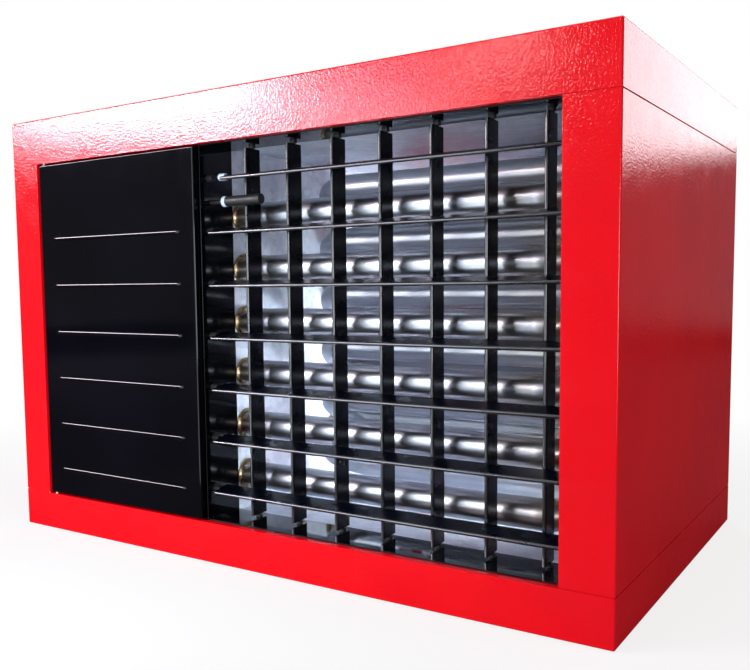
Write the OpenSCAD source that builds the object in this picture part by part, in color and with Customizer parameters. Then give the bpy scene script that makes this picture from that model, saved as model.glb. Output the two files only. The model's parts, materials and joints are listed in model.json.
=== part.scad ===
// Gas fired forced air unit heater: red sheet casing, burner compartment on the left behind a black
// door, and on the right an airway with serpentine heat exchanger tubes, an axial fan at the rear and
// two rows of turning louvres at the front. Sizes are in millimetres. X runs to the right, Y from the
// front to the back and Z up. The origin is under the middle of the whole heater.

/* [Casing] */
// Width of the casing
casing_w = 1100; // [1080:2:1160]
// Depth of the casing
casing_d = 695; // [685:1:740]
// Height of the casing
casing_h = 740; // [736:1:790]
// Thickness of the top cover and the bottom tray
pan_sheet = 1.5; // [1.2:0.1:2]
// Outer layer of the side panels
side_sheet = 1.8; // [1.5:0.1:2.4]
// Tongue of the side panels that slips inside the top cover and the bottom tray
tongue_sheet = 1.2; // [1:0.1:1.6]
// How far that tongue reaches behind the bands
tongue_reach = 12; // [8:1:20]
// Height of the red band that hangs from the top
top_band = 78; // [74:1:90]
// Height of the red band at the bottom
bottom_band = 65; // [60:1:75]
// Dark reveal between a band and the panel beside it
reveal = 2; // [1:0.25:3]
// Front stile of the left side panel
left_stile = 66; // [56:1:72]
// Front stile of the right side panel
right_stile = 70; // [60:1:80]
// Return behind the inner edge of each stile
stile_return = 12; // [8:1:13]
// Rear return of each side panel
rear_return = 30; // [20:1:36]
// Lip of the top cover and the bottom tray behind the front bands
band_lip = 12; // [10:1:12.5]
// Thickness of the rear panel
rear_sheet = 1.5; // [1.2:0.1:2]
// Reach of the spigots behind the casing
rear_reach = 60; // [56:1:90]
// Distance from each side of the casing to the suspension points
suspension_inset_x = 70; // [60:1:100]
// Distance from the front and the back of the casing to the suspension points
suspension_inset_y = 97.5; // [70:0.5:130]
// Bore of a suspension nut
suspension_thread = 10; // [8:1:12]

/* [Access door] */
// Depth of the door pan
door_depth = 22; // [16:0.5:22.5]
// Sheet of the door
door_sheet = 1.5; // [1.2:0.1:2]
// Gap round the door
door_gap = 2; // [1.5:0.1:3]
// Number of pressed ribs
rib_count = 6; // [3:1:6]
// Height of a rib above the door skin
rib_height = 2.5; // [1.5:0.1:3]
// Width of a rib
rib_width = 7; // [5:0.5:9]
// Distance from the side of the door to the end of a rib
rib_margin = 32; // [24:1:60]
// Diameter of the door's hinge pins
hinge_pin_d = 6; // [4:0.5:7]

/* [Louvres] */
// Left wall of the louvre frame, measured from the left of the casing
louvre_x = 442; // [436:1:450]
// Right wall of the louvre frame, measured from the right of the casing
louvre_right_margin = 57; // [56:1:62]
// Front of the louvre frame
louvre_y = 14; // [14:0.5:15]
// Depth of the louvre frame
louvre_depth = 78; // [76:0.5:79]
// Sheet of the louvre frame
louvre_sheet = 1.2; // [1:0.1:1.6]
// Number of horizontal louvres
h_louvre_count = 7; // [7]
// Height of the lowest horizontal louvre above the louvre frame's floor
h_louvre_first = 48; // [40:1:52]
// Distance from the highest horizontal louvre to the top of the louvre frame
h_louvre_last = 50.4; // [44:0.2:60]
// Chord of a horizontal louvre
h_louvre_chord = 34; // [28:0.5:35]
// Tilt of the horizontal louvres as delivered, front edge down
h_louvre_tilt = 15; // [0:1:25]
// Number of vertical louvres
v_louvre_count = 7; // [7]
// Distance of the first vertical louvre from the left wall
v_louvre_first = 62; // [50:1:66]
// Distance of the last vertical louvre from the right wall
v_louvre_last = 51.2; // [46:0.2:66]
// Chord of a vertical louvre
v_louvre_chord = 38; // [32:0.5:38.5]
// Thickness of a louvre's nose
louvre_thick = 5.6; // [4.5:0.1:7]
// Diameter of a louvre pin
louvre_pin_d = 5; // [4:0.5:6]
// Outside diameter of a louvre bush
bush_d = 11; // [9.5:0.5:12]
// Length of a horizontal louvre's bush inside the frame
bush_length = 12; // [9:0.5:14]
// Length of a vertical louvre's bush inside the frame
v_bush_length = 4; // [3:0.5:12]
// How far the top louvre's left end is cut back to clear the thermostat sleeve
top_louvre_setback = 26; // [20:1:30]

/* [Heat exchanger] */
// Number of tubes
tube_count = 6; // [6]
// Outside diameter of a tube
tube_d = 44; // [38:0.5:46]
// Wall of a tube
tube_wall = 1.5; // [1.2:0.1:2]
// Distance between the legs of one tube, from front to back
leg_pitch = 86.6; // [82:0.2:88]
// Height of the lowest tube above the floor of the heater
tube_first = 122; // [118:1:126]
// Distance from the highest leg to the underside of the top band
tube_last = 63.7; // [60:0.1:80]
// Distance from the front of the casing to the first leg
tube_y = 118; // [117.8:0.2:124]
// How far the legs reach past the division panel into the left compartment
tube_stub = 12; // [8:0.5:14]
// Gap between the outer bends and the heat shield, where the rest bar stands
bend_gap = 6.6; // [6:0.1:20]
// Distance from the division panel to the inner bend between the second and third leg
inner_bend_x = 150; // [120:2:200]

/* [Fan] */
// Distance from the flange of the fan ring to the nearest walls of the airway
fan_margin = 42.25; // [32:0.25:70]
// Diameter of its hub, which is also the motor's rotor
hub_d = 140; // [120:2:160]
// Number of blades
fan_blades = 6; // [4:1:8]
// Depth of the impeller along its axis
fan_depth = 66; // [60:1:80]
// Running gap round the blade tips
fan_tip_gap = 6; // [4:0.5:9]
// Reach of the wire guard behind the rear panel
guard_reach = 48; // [44:1:52]
// Wire of the guard
guard_wire = 4; // [3:0.5:5]

/* [Burner compartment] */
// Diameter of the flue spigot and of the air inlet spigot
spigot_d = 100; // [80:2:110]
// Diameter of the gas pipe
gas_pipe_d = 26.9; // [21.3:0.2:28]
// Depth of the thread cut into the free end of the gas pipe
gas_thread_depth = 0.25; // [0.2:0.05:0.4]
// Length of that thread
gas_thread_length = 19; // [14:1:24]
// Diameter of the burner manifold
manifold_d = 22; // [20:0.5:26]
// Length of a burner
burner_length = 128; // [115:1:130]
// Diameter of a burner's flared head
burner_head_d = 38; // [32:1:42]
// Diameter of the flue fan's housing
flue_fan_d = 190; // [170:2:200]
// Width of the flue fan's housing
flue_fan_w = 60; // [50:1:64]

/* [Hidden] */

$fn = 48;

// Clearance between pieces that lie against each other
seat_gap = 0.3;
// Radial running clearance of pins and shafts
run_gap = 0.06;
// Overrun of a cut past the face that it opens
cut = 2;

// Whole depth, with the spigots
overall_d = casing_d + rear_reach;

// Levels and planes of the casing
band_low = bottom_band;
band_high = casing_h - top_band;
skin_inset = side_sheet + tongue_sheet;
rear_front = casing_d - skin_inset - seat_gap - rear_sheet;
rear_back = rear_front + rear_sheet;
inner_floor = pan_sheet + seat_gap;
inner_roof = casing_h - pan_sheet - seat_gap;
suspension_hole_gap = 1;
rail_w = 40;
rail_h = 22;
rail_sheet = 2.5;
nut_d = 18;
nut_h = 12;

// Airway between the division panel and the heat shield
panel_sheet = 1.5;
airway_left = louvre_x;
airway_right = casing_w - louvre_right_margin;
airway_mid = (airway_left + airway_right) / 2;
airway_front = louvre_y + louvre_depth + seat_gap;
airway_back = rear_front - seat_gap;
panel_flange = 14;
baffle_sheet = 1.2;
baffle_low = band_low - seat_gap - baffle_sheet - 2 * seat_gap;
baffle_high = band_high + 2 * seat_gap;
airway_h = baffle_high - baffle_low - baffle_sheet;

// Louvre frame and rows
frame_low = band_low + seat_gap;
frame_high = band_high - seat_gap;
frame_back = louvre_y + louvre_depth;
frame_inner_w = airway_right - airway_left - 2 * louvre_sheet;
frame_inner_h = frame_high - frame_low - 2 * louvre_sheet;
h_louvre_pitch = (frame_high - frame_low - h_louvre_first - h_louvre_last) / (h_louvre_count - 1);
v_louvre_pitch = (airway_right - airway_left - v_louvre_first - v_louvre_last) / (v_louvre_count - 1);
front_row_gap = 1.65;
rear_row_gap = 3;
h_pivot_y = louvre_y + front_row_gap + h_louvre_chord / 2;
v_pivot_y = frame_back - rear_row_gap - v_louvre_chord / 2;
tail_share = 0.2;
bush_shoulder = 1.5;
bush_spigot_d = bush_d - 2 * bush_shoulder;
bush_flange_gap = 0.5;
spacer_length = 13;

// Door
door_face = rib_height;
door_left = left_stile + door_gap;
door_right = louvre_x - door_gap - seat_gap;
door_low = band_low + door_gap;
door_high = band_high - door_gap;
door_back = door_face + door_depth;
hinge_inset = 10;
hinge_x = door_left + hinge_inset;
hinge_y = door_face + door_sheet + hinge_pin_d / 2 + seat_gap;
hinge_reach = 12;
hinge_head_share = 1.7;
hinge_head_d = hinge_pin_d * hinge_head_share;
hinge_head = 1.5;
strike_w = 20;
catch_w = 16;
catch_depth = 20;
catch_h = 44;
catch_inset = 142.3;
catch_gap = 19.3;
rib_pitch = h_louvre_pitch;
rib_first = frame_low + h_louvre_first;
rib_shoulder_share = 0.9;
rib_crown_share = 0.2;

// Heat exchanger legs
tube_r = tube_d / 2;
tube_pitch = (band_high - tube_last - tube_first) / (tube_count - 1 / 2);
leg_y = [for (i = [0:3]) tube_y + i * leg_pitch];
leg_rise = tube_pitch / 2;
bend_r = sqrt(leg_pitch * leg_pitch + leg_rise * leg_rise) / 2;
bend_angle = atan2(leg_rise, leg_pitch);
crown_x = airway_right - bend_gap;
outer_bend_x = crown_x - tube_r - bend_r;
// The bends are swaged over the ends of the legs
bend_swell = 0.15;
collar_width = 6;
collar_height = 4;
rest_bar_depth = 66;

// Fan
fan_x = airway_mid;
fan_z = (baffle_low + baffle_high) / 2;
hub_r = hub_d / 2;
ring_sheet = 1.5;
ring_throat = 74;
ring_mouth = 14;
ring_flange = 26;
ring_r = min(airway_right - airway_left, airway_h) / 2 - fan_margin - ring_flange;
fan_d = 2 * (ring_r - fan_tip_gap);
guard_r = ring_r + ring_flange / 2;
guard_back = casing_d + guard_reach;
guard_plate_share = 0.86;
guard_plate_r = hub_r * guard_plate_share;
guard_flat_share = 0.8;
guard_flat_r = guard_r * guard_flat_share;
guard_plane = guard_back - guard_wire / 2;
guard_foot = rear_back + seat_gap + guard_wire / 2;
guard_lap_share = 0.3;
guard_lap = guard_wire * guard_lap_share;
guard_screw_share = 0.7;
guard_rings = 6;
guard_spokes = 12;
motor_plate = 5;
hub_proud = 4;
hub_back = rear_back + hub_proud;
hub_front = hub_back - fan_depth;
hub_wall = 4;
stator_gap = 6;
fan_shaft_d = 12;
blade_thick = 3;
blade_pitch_angle = 26;
blade_span_share = 0.6;
blade_root_share = 0.97;

// Flue side
compartment_z = [for (i = [0:tube_count - 1]) tube_first + i * tube_pitch];
flue_y = leg_y[3];
collector_sheet = 1.5;
collector_w = 88;
collector_depth = 86;
collector_right = airway_left - panel_sheet - seat_gap;
collector_left = collector_right - collector_w;
collector_margin = 20;
collector_low = tube_first + leg_rise - tube_r - collector_margin;
collector_high = tube_first + leg_rise + (tube_count - 1) * tube_pitch + tube_r + collector_margin;
flue_fan_drop = 162;
flue_fan_z = band_high - flue_fan_drop;
flue_fan_x = collector_left - seat_gap - flue_fan_w;
flue_fan_r = flue_fan_d / 2;
flue_eye_r = 38;
flue_outlet_h = 64;
flue_outlet_reach = 150;
flue_wheel_gap = 18;
flue_wheel_r = flue_fan_r - flue_wheel_gap;
flue_wheel_side_gap = 5;
flue_wheel_blades = 12;
flue_blade_root_gap = 4;
flue_blade_tip_gap = 1;
flue_shaft_r = 4;
flue_shaft_gap = 2;
flue_shaft_grip = 10;
flue_hub_share = 3;
flue_motor_r = 42;
flue_motor_length = 72;
flue_motor_body_share = 0.8;
flue_motor_nose_share = 0.7;
flue_motor_plate_share = 1.3;
flue_motor_plate = 2;
flue_motor_wall = 4;
spigot_z = flue_fan_z + flue_fan_r - flue_outlet_h / 2;
flue_spigot_x = flue_fan_x + flue_fan_w / 2;
air_spigot_x = 150;
spigot_sheet = 1.2;
spigot_flange = 16;
spigot_plate_share = 0.52;
air_spigot_inside = 20;

// Burners
burner_y = tube_y;
burner_gap = 8;
burner_head_x = airway_left - tube_stub - burner_gap;
burner_inlet_x = burner_head_x - burner_length;
burner_throat_r = 11;
burner_wall = 1.2;
burner_bell = 7;
burner_bell_length = 22;
burner_cone_share = 0.72;
burner_mouth_share = 0.82;
burner_mouth_r_share = 0.42;
rack_share = 0.36;
rack_x = burner_head_x - burner_length * rack_share;
rack_sheet = 1.5;
rack_half = 46;
rack_margin = 42;
rack_low = tube_first - rack_margin;
rack_high = tube_first + (tube_count - 1) * tube_pitch + rack_margin;
injector_gap = 3;
injector_hex = 13;
injector_hex_length = 11;
injector_tip_d = 7;
injector_tip_length = 8;
injector_stub = 5;
manifold_x = burner_inlet_x - injector_gap - injector_tip_length - injector_hex_length - manifold_d / 2;
manifold_wall = 2.3;
manifold_overrun = 30;
branch_step = 1;
branch_r = manifold_d / 2 - branch_step;
valve_z = 165;
valve_w = 96;
valve_depth = 78;
valve_h = 80;
valve_gap = 64;
valve_right = manifold_x - valve_gap;
valve_left = valve_right - valve_w;
valve_front = burner_y - valve_depth / 2;
valve_bore_depth = 20;
valve_cap_shares = [0.3, 0.7];
valve_cap_h_share = 0.35;
valve_cap_r_share = 0.16;
knob_d = 32;
knob_depth = 16;
knob_spindle_d = 8;
knob_spindle = 15;
knob_flutes = 12;
knob_flute_r = 1.8;
knob_flute_proud = 0.6;
knob_flute_share = 0.7;
knob_mark_w = 3;
knob_mark_proud = 2;
knob_mark_sunk = 1;
knob_lap = 1;
gas_pipe_x = 66;
gas_pipe_wall = 2.6;
gas_bend_r = 34;
gas_setback = 14;
gas_end = casing_d + rear_reach - gas_setback;
electrode_d = 8;
electrode_wire_d = 2.4;
electrode_front = 26;
electrode_rear = 20;
electrode_wire = 26;
electrode_offset = 30;
electrode_y = burner_y + electrode_offset;
electrode_z = [compartment_z[0], compartment_z[tube_count - 1]];

// Controls on the left wall
wall_x = skin_inset + seat_gap;
box_depth = 62;
box_y = 190;
box_l = 220;
box_z = 250;
box_h = 170;
box_wall = 2;
button_d = 14;
button_travel = 3;
button_proud = 2;
button_length = 16;
button_collar = 3;
button_drop = 40;
button_x = wall_x + box_depth / 2;
button_z = box_z + box_h - button_drop;
switch_d = 84;
switch_y = 300;
switch_gap = 48;
switch_z = box_z + box_h + switch_gap + switch_d / 2;
switch_depth = 34;
switch_rim_share = 0.7;
switch_dome_share = 0.3;
switch_port_r = 4;
switch_port_place_share = 0.39;
switch_port_start_share = 0.5;
switch_port_share = 0.6;
gland_d = 26;
gland_body_share = 0.4;
gland_nut_share = 1.1;
gland_inside = 14;
gland_length = 40;
gland_nut = 7;
gland_locknut = 5;
gland_cap = 14;
gland_x = 62;
gland_z = 330;
gland_bore_d = 11;

// Limit thermostat
stat_drop = 88;
stat_z = band_high - stat_drop;
stat_y = 40;
stat_lap = 1;
stat_body = [32, 26, 30];
stat_stem_d = 8;
stat_nut_d = 13;
stat_nut_length = 7;
stat_sleeve_d = 16;
stat_stem = 28;
stat_sleeve = 68;
catch_z = [door_low + catch_inset, stat_z - stat_body[2] / 2 - catch_gap - catch_h / 2];

// Screws at the rear
screw_head_d = 10;
screw_head = 3.4;
screw_d = 4.8;
screw_length = 10;
screw_count = 5;

// Draws its children in the heater's own frame from coordinates that start at the front left corner.
module place() translate([-casing_w / 2, -overall_d / 2, 0]) children();

// A box between two corners.
module block(low, high) translate(low) cube(high - low);

// A rod along X, Y or Z from a start point.
module rod_x(start, length, r) translate(start) rotate([0, 90, 0]) cylinder(r = r, h = length);
module rod_y(start, length, r) translate(start) rotate([-90, 0, 0]) cylinder(r = r, h = length);
module rod_z(start, length, r) translate(start) cylinder(r = r, h = length);

// The middle of share i of count equal shares between two places.
function between(low, high, count, i) = low + (high - low) * (i + 1 / 2) / count;

// The suspension points along X and along Y.
suspension_x = [suspension_inset_x, casing_w - suspension_inset_x];
suspension_y = [suspension_inset_y, casing_d - suspension_inset_y];

// Casing

module top_cover() color("red") place() difference() {
    union() {
        difference() {
            block([0, 0, band_high], [casing_w, casing_d, casing_h]);
            block(
                [pan_sheet, pan_sheet, band_high - cut],
                [casing_w - pan_sheet, casing_d - pan_sheet, casing_h - pan_sheet]
            );
        }
        block(
            [left_stile + seat_gap, 0, band_high],
            [casing_w - right_stile - seat_gap, band_lip, band_high + pan_sheet]
        );
    }
    for (x = suspension_x) for (y = suspension_y)
        rod_z(
            [x, y, casing_h - pan_sheet - cut],
            pan_sheet + 2 * cut,
            suspension_thread / 2 + suspension_hole_gap
        );
    rod_z([hinge_x, hinge_y, band_high - cut], pan_sheet + 2 * cut, hinge_pin_d / 2 + run_gap);
    rear_screw_holes(casing_h - top_band / 2);
}

module bottom_tray() color("red") place() difference() {
    union() {
        difference() {
            block([0, 0, 0], [casing_w, casing_d, band_low]);
            block(
                [pan_sheet, pan_sheet, pan_sheet],
                [casing_w - pan_sheet, casing_d - pan_sheet, band_low + cut]
            );
        }
        block(
            [left_stile + seat_gap, 0, band_low - pan_sheet],
            [casing_w - right_stile - seat_gap, band_lip, band_low]
        );
    }
    rod_z(
        [hinge_x, hinge_y, band_low - pan_sheet - cut],
        pan_sheet + 2 * cut,
        hinge_pin_d / 2 + run_gap
    );
    rear_screw_holes(bottom_band / 2);
}

// Outline of a side panel seen from above: a front stile, the side and a rear return.
module side_outline(stile, inset, sheet) difference() {
    translate([inset, inset]) square([stile - inset, casing_d - 2 * inset]);
    translate([inset + sheet, inset + sheet]) square([stile, casing_d - 2 * inset - 2 * sheet]);
    translate([rear_return, casing_d / 2]) square([stile, casing_d]);
}

module side_panel(stile) union() {
    translate([0, 0, band_low + reveal])
        linear_extrude(band_high - band_low - 2 * reveal) side_outline(stile, 0, side_sheet);
    translate([0, 0, band_low - tongue_reach])
        linear_extrude(band_high - band_low + 2 * tongue_reach)
            side_outline(stile, side_sheet, tongue_sheet);
    block(
        [stile - side_sheet, 0, band_low + reveal],
        [stile, stile_return, band_high - reveal]
    );
}

module left_side_panel() color("red") place() side_panel(left_stile);

module right_side_panel() color("red") place()
    translate([casing_w, 0, 0]) mirror([1, 0, 0]) side_panel(right_stile);

module rear_screw_holes(z) for (i = [0:screw_count - 1])
    rod_y(
        [between(rear_return, casing_w - rear_return, screw_count, i), rear_front - cut, z],
        casing_d - rear_front + 2 * cut,
        screw_d / 2 + run_gap
    );

module rear_panel() color("red") place() difference() {
    block(
        [skin_inset + 2 * seat_gap, rear_front, inner_floor],
        [casing_w - skin_inset - 2 * seat_gap, rear_back, inner_roof]
    );
    rod_y([fan_x, rear_front - cut, fan_z], rear_sheet + 2 * cut, ring_r + ring_mouth / 2);
    rod_y([flue_spigot_x, rear_front - cut, spigot_z], rear_sheet + 2 * cut, spigot_d / 2 + seat_gap);
    rod_y([air_spigot_x, rear_front - cut, spigot_z], rear_sheet + 2 * cut, spigot_d / 2 + seat_gap);
    rod_y([gas_pipe_x, rear_front - cut, valve_z], rear_sheet + 2 * cut, gas_pipe_d / 2 + seat_gap);
    rod_y(
        [gland_x, rear_front - cut, gland_z],
        rear_sheet + 2 * cut,
        gland_d * gland_body_share + run_gap
    );
    rear_screw_holes(bottom_band / 2);
    rear_screw_holes(casing_h - top_band / 2);
}

// Two channels under the top cover with a welded nut at each suspension point.
module suspension_rails() color("silver") place() for (x = suspension_x) {
    top = casing_h - pan_sheet;
    difference() {
        union() {
            difference() {
                block(
                    [x - rail_w / 2, pan_sheet + seat_gap, top - rail_h],
                    [x + rail_w / 2, rear_front - seat_gap, top]
                );
                block(
                    [x - rail_w / 2 + rail_sheet, 0, top - rail_h - cut],
                    [x + rail_w / 2 - rail_sheet, casing_d, top - rail_sheet]
                );
            }
            for (y = suspension_y)
                rod_z([x, y, top - rail_sheet - nut_h], nut_h + rail_sheet, nut_d / 2);
        }
        for (y = suspension_y)
            rod_z([x, y, top - rail_h - cut], rail_h + 2 * cut, suspension_thread / 2);
    }
}

module casing_screws() color("silver") place()
    for (z = [bottom_band / 2, casing_h - top_band / 2]) for (i = [0:screw_count - 1]) {
        x = between(rear_return, casing_w - rear_return, screw_count, i);
        rod_y([x, casing_d, z], screw_head, screw_head_d / 2);
        rod_y([x, casing_d - screw_length, z], screw_length, screw_d / 2);
    }

// Access door

module access_door() color([0.02, 0.02, 0.02]) place() difference() {
    union() {
        difference() {
            block([door_left, door_face, door_low], [door_right, door_back, door_high]);
            block(
                [door_left + door_sheet, door_face + door_sheet, door_low + door_sheet],
                [door_right - door_sheet, door_back + cut, door_high - door_sheet]
            );
        }
        block(
            [door_right - strike_w, door_back - door_sheet, door_low],
            [door_right, door_back, door_high]
        );
        for (i = [0:rib_count - 1]) rib(rib_first + i * rib_pitch);
    }
    for (z = [door_low, door_high - door_sheet])
        rod_z([hinge_x, hinge_y, z - cut], door_sheet + 2 * cut, hinge_pin_d / 2 + run_gap);
}

// A pressed rib: a low triangle along the door, steep at its upper side.
module rib(z) translate([door_left + rib_margin, 0, z]) rotate([90, 0, 90])
    linear_extrude(door_right - door_left - 2 * rib_margin) polygon([
        [door_face + door_sheet / 2, -rib_width / 2],
        [door_face + door_sheet / 2, rib_width / 2],
        [door_face, rib_width / 2],
        [door_face - rib_height * rib_shoulder_share, rib_width * rib_crown_share],
        [door_face - rib_height, 0],
        [door_face - rib_height * rib_shoulder_share, -rib_width * rib_crown_share],
        [door_face, -rib_width / 2]
    ]);

module door_hinge_pins() color("silver") place() {
    rod_z([hinge_x, hinge_y, band_high - hinge_reach], hinge_reach + pan_sheet, hinge_pin_d / 2);
    rod_z([hinge_x, hinge_y, band_high + pan_sheet], hinge_head, hinge_head_d / 2);
    rod_z([hinge_x, hinge_y, band_low - pan_sheet], hinge_reach + pan_sheet, hinge_pin_d / 2);
    rod_z([hinge_x, hinge_y, band_low - pan_sheet - hinge_head], hinge_head, hinge_head_d / 2);
}

module door_catches() color("dimgray") place() for (z = catch_z) {
    x = louvre_x - seat_gap;
    y = door_back + seat_gap;
    block([x - catch_w, y, z - catch_h / 2], [x, y + catch_depth, z + catch_h / 2]);
}

// Airway

module tube_holes(x, depth, gap) for (z = compartment_z) {
    rod_x([x, leg_y[0], z], depth, tube_r + gap);
    rod_x([x, leg_y[3], z + leg_rise], depth, tube_r + gap);
}

module division_panel() color("gainsboro") place() difference() {
    union() {
        block(
            [airway_left - panel_sheet, airway_front, inner_floor],
            [airway_left, airway_back, inner_roof]
        );
        block(
            [airway_left - panel_flange, airway_front, inner_floor + panel_flange],
            [airway_left, airway_front + panel_sheet, inner_roof - panel_flange - rail_h]
        );
    }
    tube_holes(airway_left - panel_sheet - cut, panel_sheet + 2 * cut, seat_gap);
}

module right_heat_shield() color("gainsboro") place() {
    low = [airway_right, airway_front, inner_floor];
    top = casing_h - pan_sheet - rail_h - seat_gap;
    block(low, [airway_right + panel_sheet, airway_back, top]);
    block(low, [airway_right + panel_flange, airway_front + panel_sheet, top]);
}

module airway_baffles() color("gainsboro") place()
    for (z = [baffle_low, baffle_high])
        block(
            [airway_left + seat_gap, airway_front, z],
            [airway_right - seat_gap, airway_back, z + baffle_sheet]
        );

module louvre_frame() color([0.03, 0.03, 0.03]) place() difference() {
    block([airway_left, louvre_y, frame_low], [airway_right, frame_back, frame_high]);
    block(
        [airway_left + louvre_sheet, louvre_y - cut, frame_low + louvre_sheet],
        [airway_right - louvre_sheet, frame_back + cut, frame_high - louvre_sheet]
    );
    for (i = [0:h_louvre_count - 1])
        rod_x(
            [airway_left - cut, h_pivot_y, h_louvre_z(i)],
            airway_right - airway_left + 2 * cut,
            bush_spigot_d / 2 + run_gap
        );
    for (i = [0:v_louvre_count - 1])
        rod_z(
            [v_louvre_x(i), v_pivot_y, frame_low - cut],
            frame_high - frame_low + 2 * cut,
            bush_spigot_d / 2 + run_gap
        );
    rod_x([airway_left - cut, stat_y, stat_z], louvre_sheet + 2 * cut, stat_stem_d / 2 + seat_gap);
}

function h_louvre_z(i) = frame_low + h_louvre_first + i * h_louvre_pitch;
function v_louvre_x(i) = airway_left + v_louvre_first + i * v_louvre_pitch;

// Outline of a louvre blade: a round nose at the front, tapering to a thin tail.
module louvre_outline(chord) {
    nose_r = louvre_thick / 2;
    tail_r = nose_r * tail_share;
    translate([-chord / 2 + nose_r, 0]) circle(nose_r);
    translate([chord / 2 - tail_r, 0]) circle(tail_r);
    polygon([
        [-chord / 2 + nose_r, -nose_r],
        [chord / 2 - tail_r, -tail_r],
        [chord / 2 - tail_r, tail_r],
        [-chord / 2 + nose_r, nose_r]
    ]);
}

// A louvre along +X about its own pin axis, from the inner face of one wall to the other.
module louvre(length, chord, tilt, setback, bush_reach) {
    start = bush_reach + bush_flange_gap + setback;
    blade = length - start - bush_reach - bush_flange_gap;
    translate([start, 0, 0]) rotate([tilt, 0, 0]) rotate([90, 0, 90])
        linear_extrude(blade) louvre_outline(chord);
    rod_x([bush_flange_gap, 0, 0], start - bush_flange_gap + cut, louvre_pin_d / 2);
    rod_x([start + blade - cut, 0, 0], bush_reach + cut, louvre_pin_d / 2);
}

module horizontal_louvre(i) color([0.03, 0.03, 0.03]) place()
    translate([airway_left + louvre_sheet, h_pivot_y, h_louvre_z(i - 1)])
        louvre(
            frame_inner_w, h_louvre_chord, h_louvre_tilt,
            i == h_louvre_count ? top_louvre_setback : 0, bush_length
        );

module vertical_louvre(i) color([0.03, 0.03, 0.03]) place()
    translate([v_louvre_x(i - 1), v_pivot_y, frame_low + louvre_sheet])
        rotate([0, -90, 0]) louvre(frame_inner_h, v_louvre_chord, 0, 0, v_bush_length);

// One bush along +X: a collar inside the frame and a spigot in the wall's hole.
module bush(reach) difference() {
    union() {
        rod_x([0, 0, 0], reach, bush_d / 2);
        rod_x([-louvre_sheet - seat_gap, 0, 0], louvre_sheet + seat_gap, bush_spigot_d / 2);
    }
    rod_x([-louvre_sheet - cut, 0, 0], reach + louvre_sheet + 2 * cut, louvre_pin_d / 2 + run_gap);
}

module louvre_bushes() color("lightsteelblue") place() {
    for (i = [0:h_louvre_count - 1]) {
        translate([airway_left + louvre_sheet, h_pivot_y, h_louvre_z(i)]) bush(bush_length);
        translate([airway_right - louvre_sheet, h_pivot_y, h_louvre_z(i)])
            mirror([1, 0, 0]) bush(bush_length);
    }
    for (i = [0:v_louvre_count - 1]) {
        translate([v_louvre_x(i), v_pivot_y, frame_low + louvre_sheet])
            rotate([0, -90, 0]) bush(v_bush_length);
        translate([v_louvre_x(i), v_pivot_y, frame_high - louvre_sheet])
            rotate([0, 90, 0]) bush(v_bush_length);
    }
    blade_start = airway_left + louvre_sheet + bush_length + bush_flange_gap + top_louvre_setback;
    translate([
        blade_start - seat_gap - spacer_length, h_pivot_y, h_louvre_z(h_louvre_count - 1)
    ]) difference() {
        rod_x([0, 0, 0], spacer_length, bush_d / 2);
        rod_x([-cut, 0, 0], spacer_length + 2 * cut, louvre_pin_d / 2 + run_gap);
    }
}

// Heat exchanger

// Half a ring of tube that bulges towards +X, from the leg at -v to the leg at +v, where v is in the
// YZ plane at the given angle above Y.
module u_bend(angle, r) rotate([angle, 0, 0]) rotate([0, 0, -90])
    rotate_extrude(angle = 180) translate([bend_r, 0]) circle(r + bend_swell);

module tube_path(z, r, overrun) {
    high = z + leg_rise;
    start = airway_left - tube_stub;
    inner_x = airway_left + inner_bend_x;
    rod_x([start - overrun, leg_y[0], z], outer_bend_x - start + overrun, r);
    rod_x([inner_x, leg_y[1], high], outer_bend_x - inner_x, r);
    rod_x([inner_x, leg_y[2], z], outer_bend_x - inner_x, r);
    rod_x([start - overrun, leg_y[3], high], outer_bend_x - start + overrun, r);
    translate([outer_bend_x, (leg_y[0] + leg_y[1]) / 2, z + leg_rise / 2]) u_bend(bend_angle, r);
    translate([outer_bend_x, (leg_y[2] + leg_y[3]) / 2, z + leg_rise / 2]) u_bend(bend_angle, r);
    translate([inner_x, (leg_y[1] + leg_y[2]) / 2, z + leg_rise / 2])
        mirror([1, 0, 0]) u_bend(-bend_angle, r);
}

module heat_tube(i) color("lightsteelblue") place() {
    z = compartment_z[i - 1];
    difference() {
        tube_path(z, tube_r, 0);
        tube_path(z, tube_r - tube_wall, cut);
    }
}

module tube_collars() color("burlywood") place() difference() {
    for (z = compartment_z) {
        rod_x([airway_left + seat_gap, leg_y[0], z], collar_width, tube_r + collar_height);
        rod_x([airway_left + seat_gap, leg_y[3], z + leg_rise], collar_width, tube_r + collar_height);
    }
    tube_holes(airway_left - cut, collar_width + 2 * cut, seat_gap);
}

module tube_rest_bar() color("gainsboro") place()
    block(
        [crown_x + seat_gap, leg_y[0], tube_first - tube_r],
        [airway_right - seat_gap, leg_y[0] + rest_bar_depth, collector_high]
    );

// Main fan

module about_fan() translate([fan_x, 0, fan_z]) rotate([-90, 0, 0]) children();

module fan_ring() color("gainsboro") place() about_fan()
    rotate_extrude() polygon([
        [ring_r, rear_front - ring_throat],
        [ring_r + ring_mouth, rear_front - ring_throat - ring_mouth / 2],
        [ring_r + ring_mouth, rear_front - ring_throat - ring_mouth / 2 + ring_sheet * 2],
        [ring_r + ring_sheet, rear_front - ring_throat + ring_sheet],
        [ring_r + ring_sheet, rear_front - seat_gap - ring_sheet],
        [ring_r + ring_flange, rear_front - seat_gap - ring_sheet],
        [ring_r + ring_flange, rear_front - seat_gap],
        [ring_r, rear_front - seat_gap]
    ]);

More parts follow.
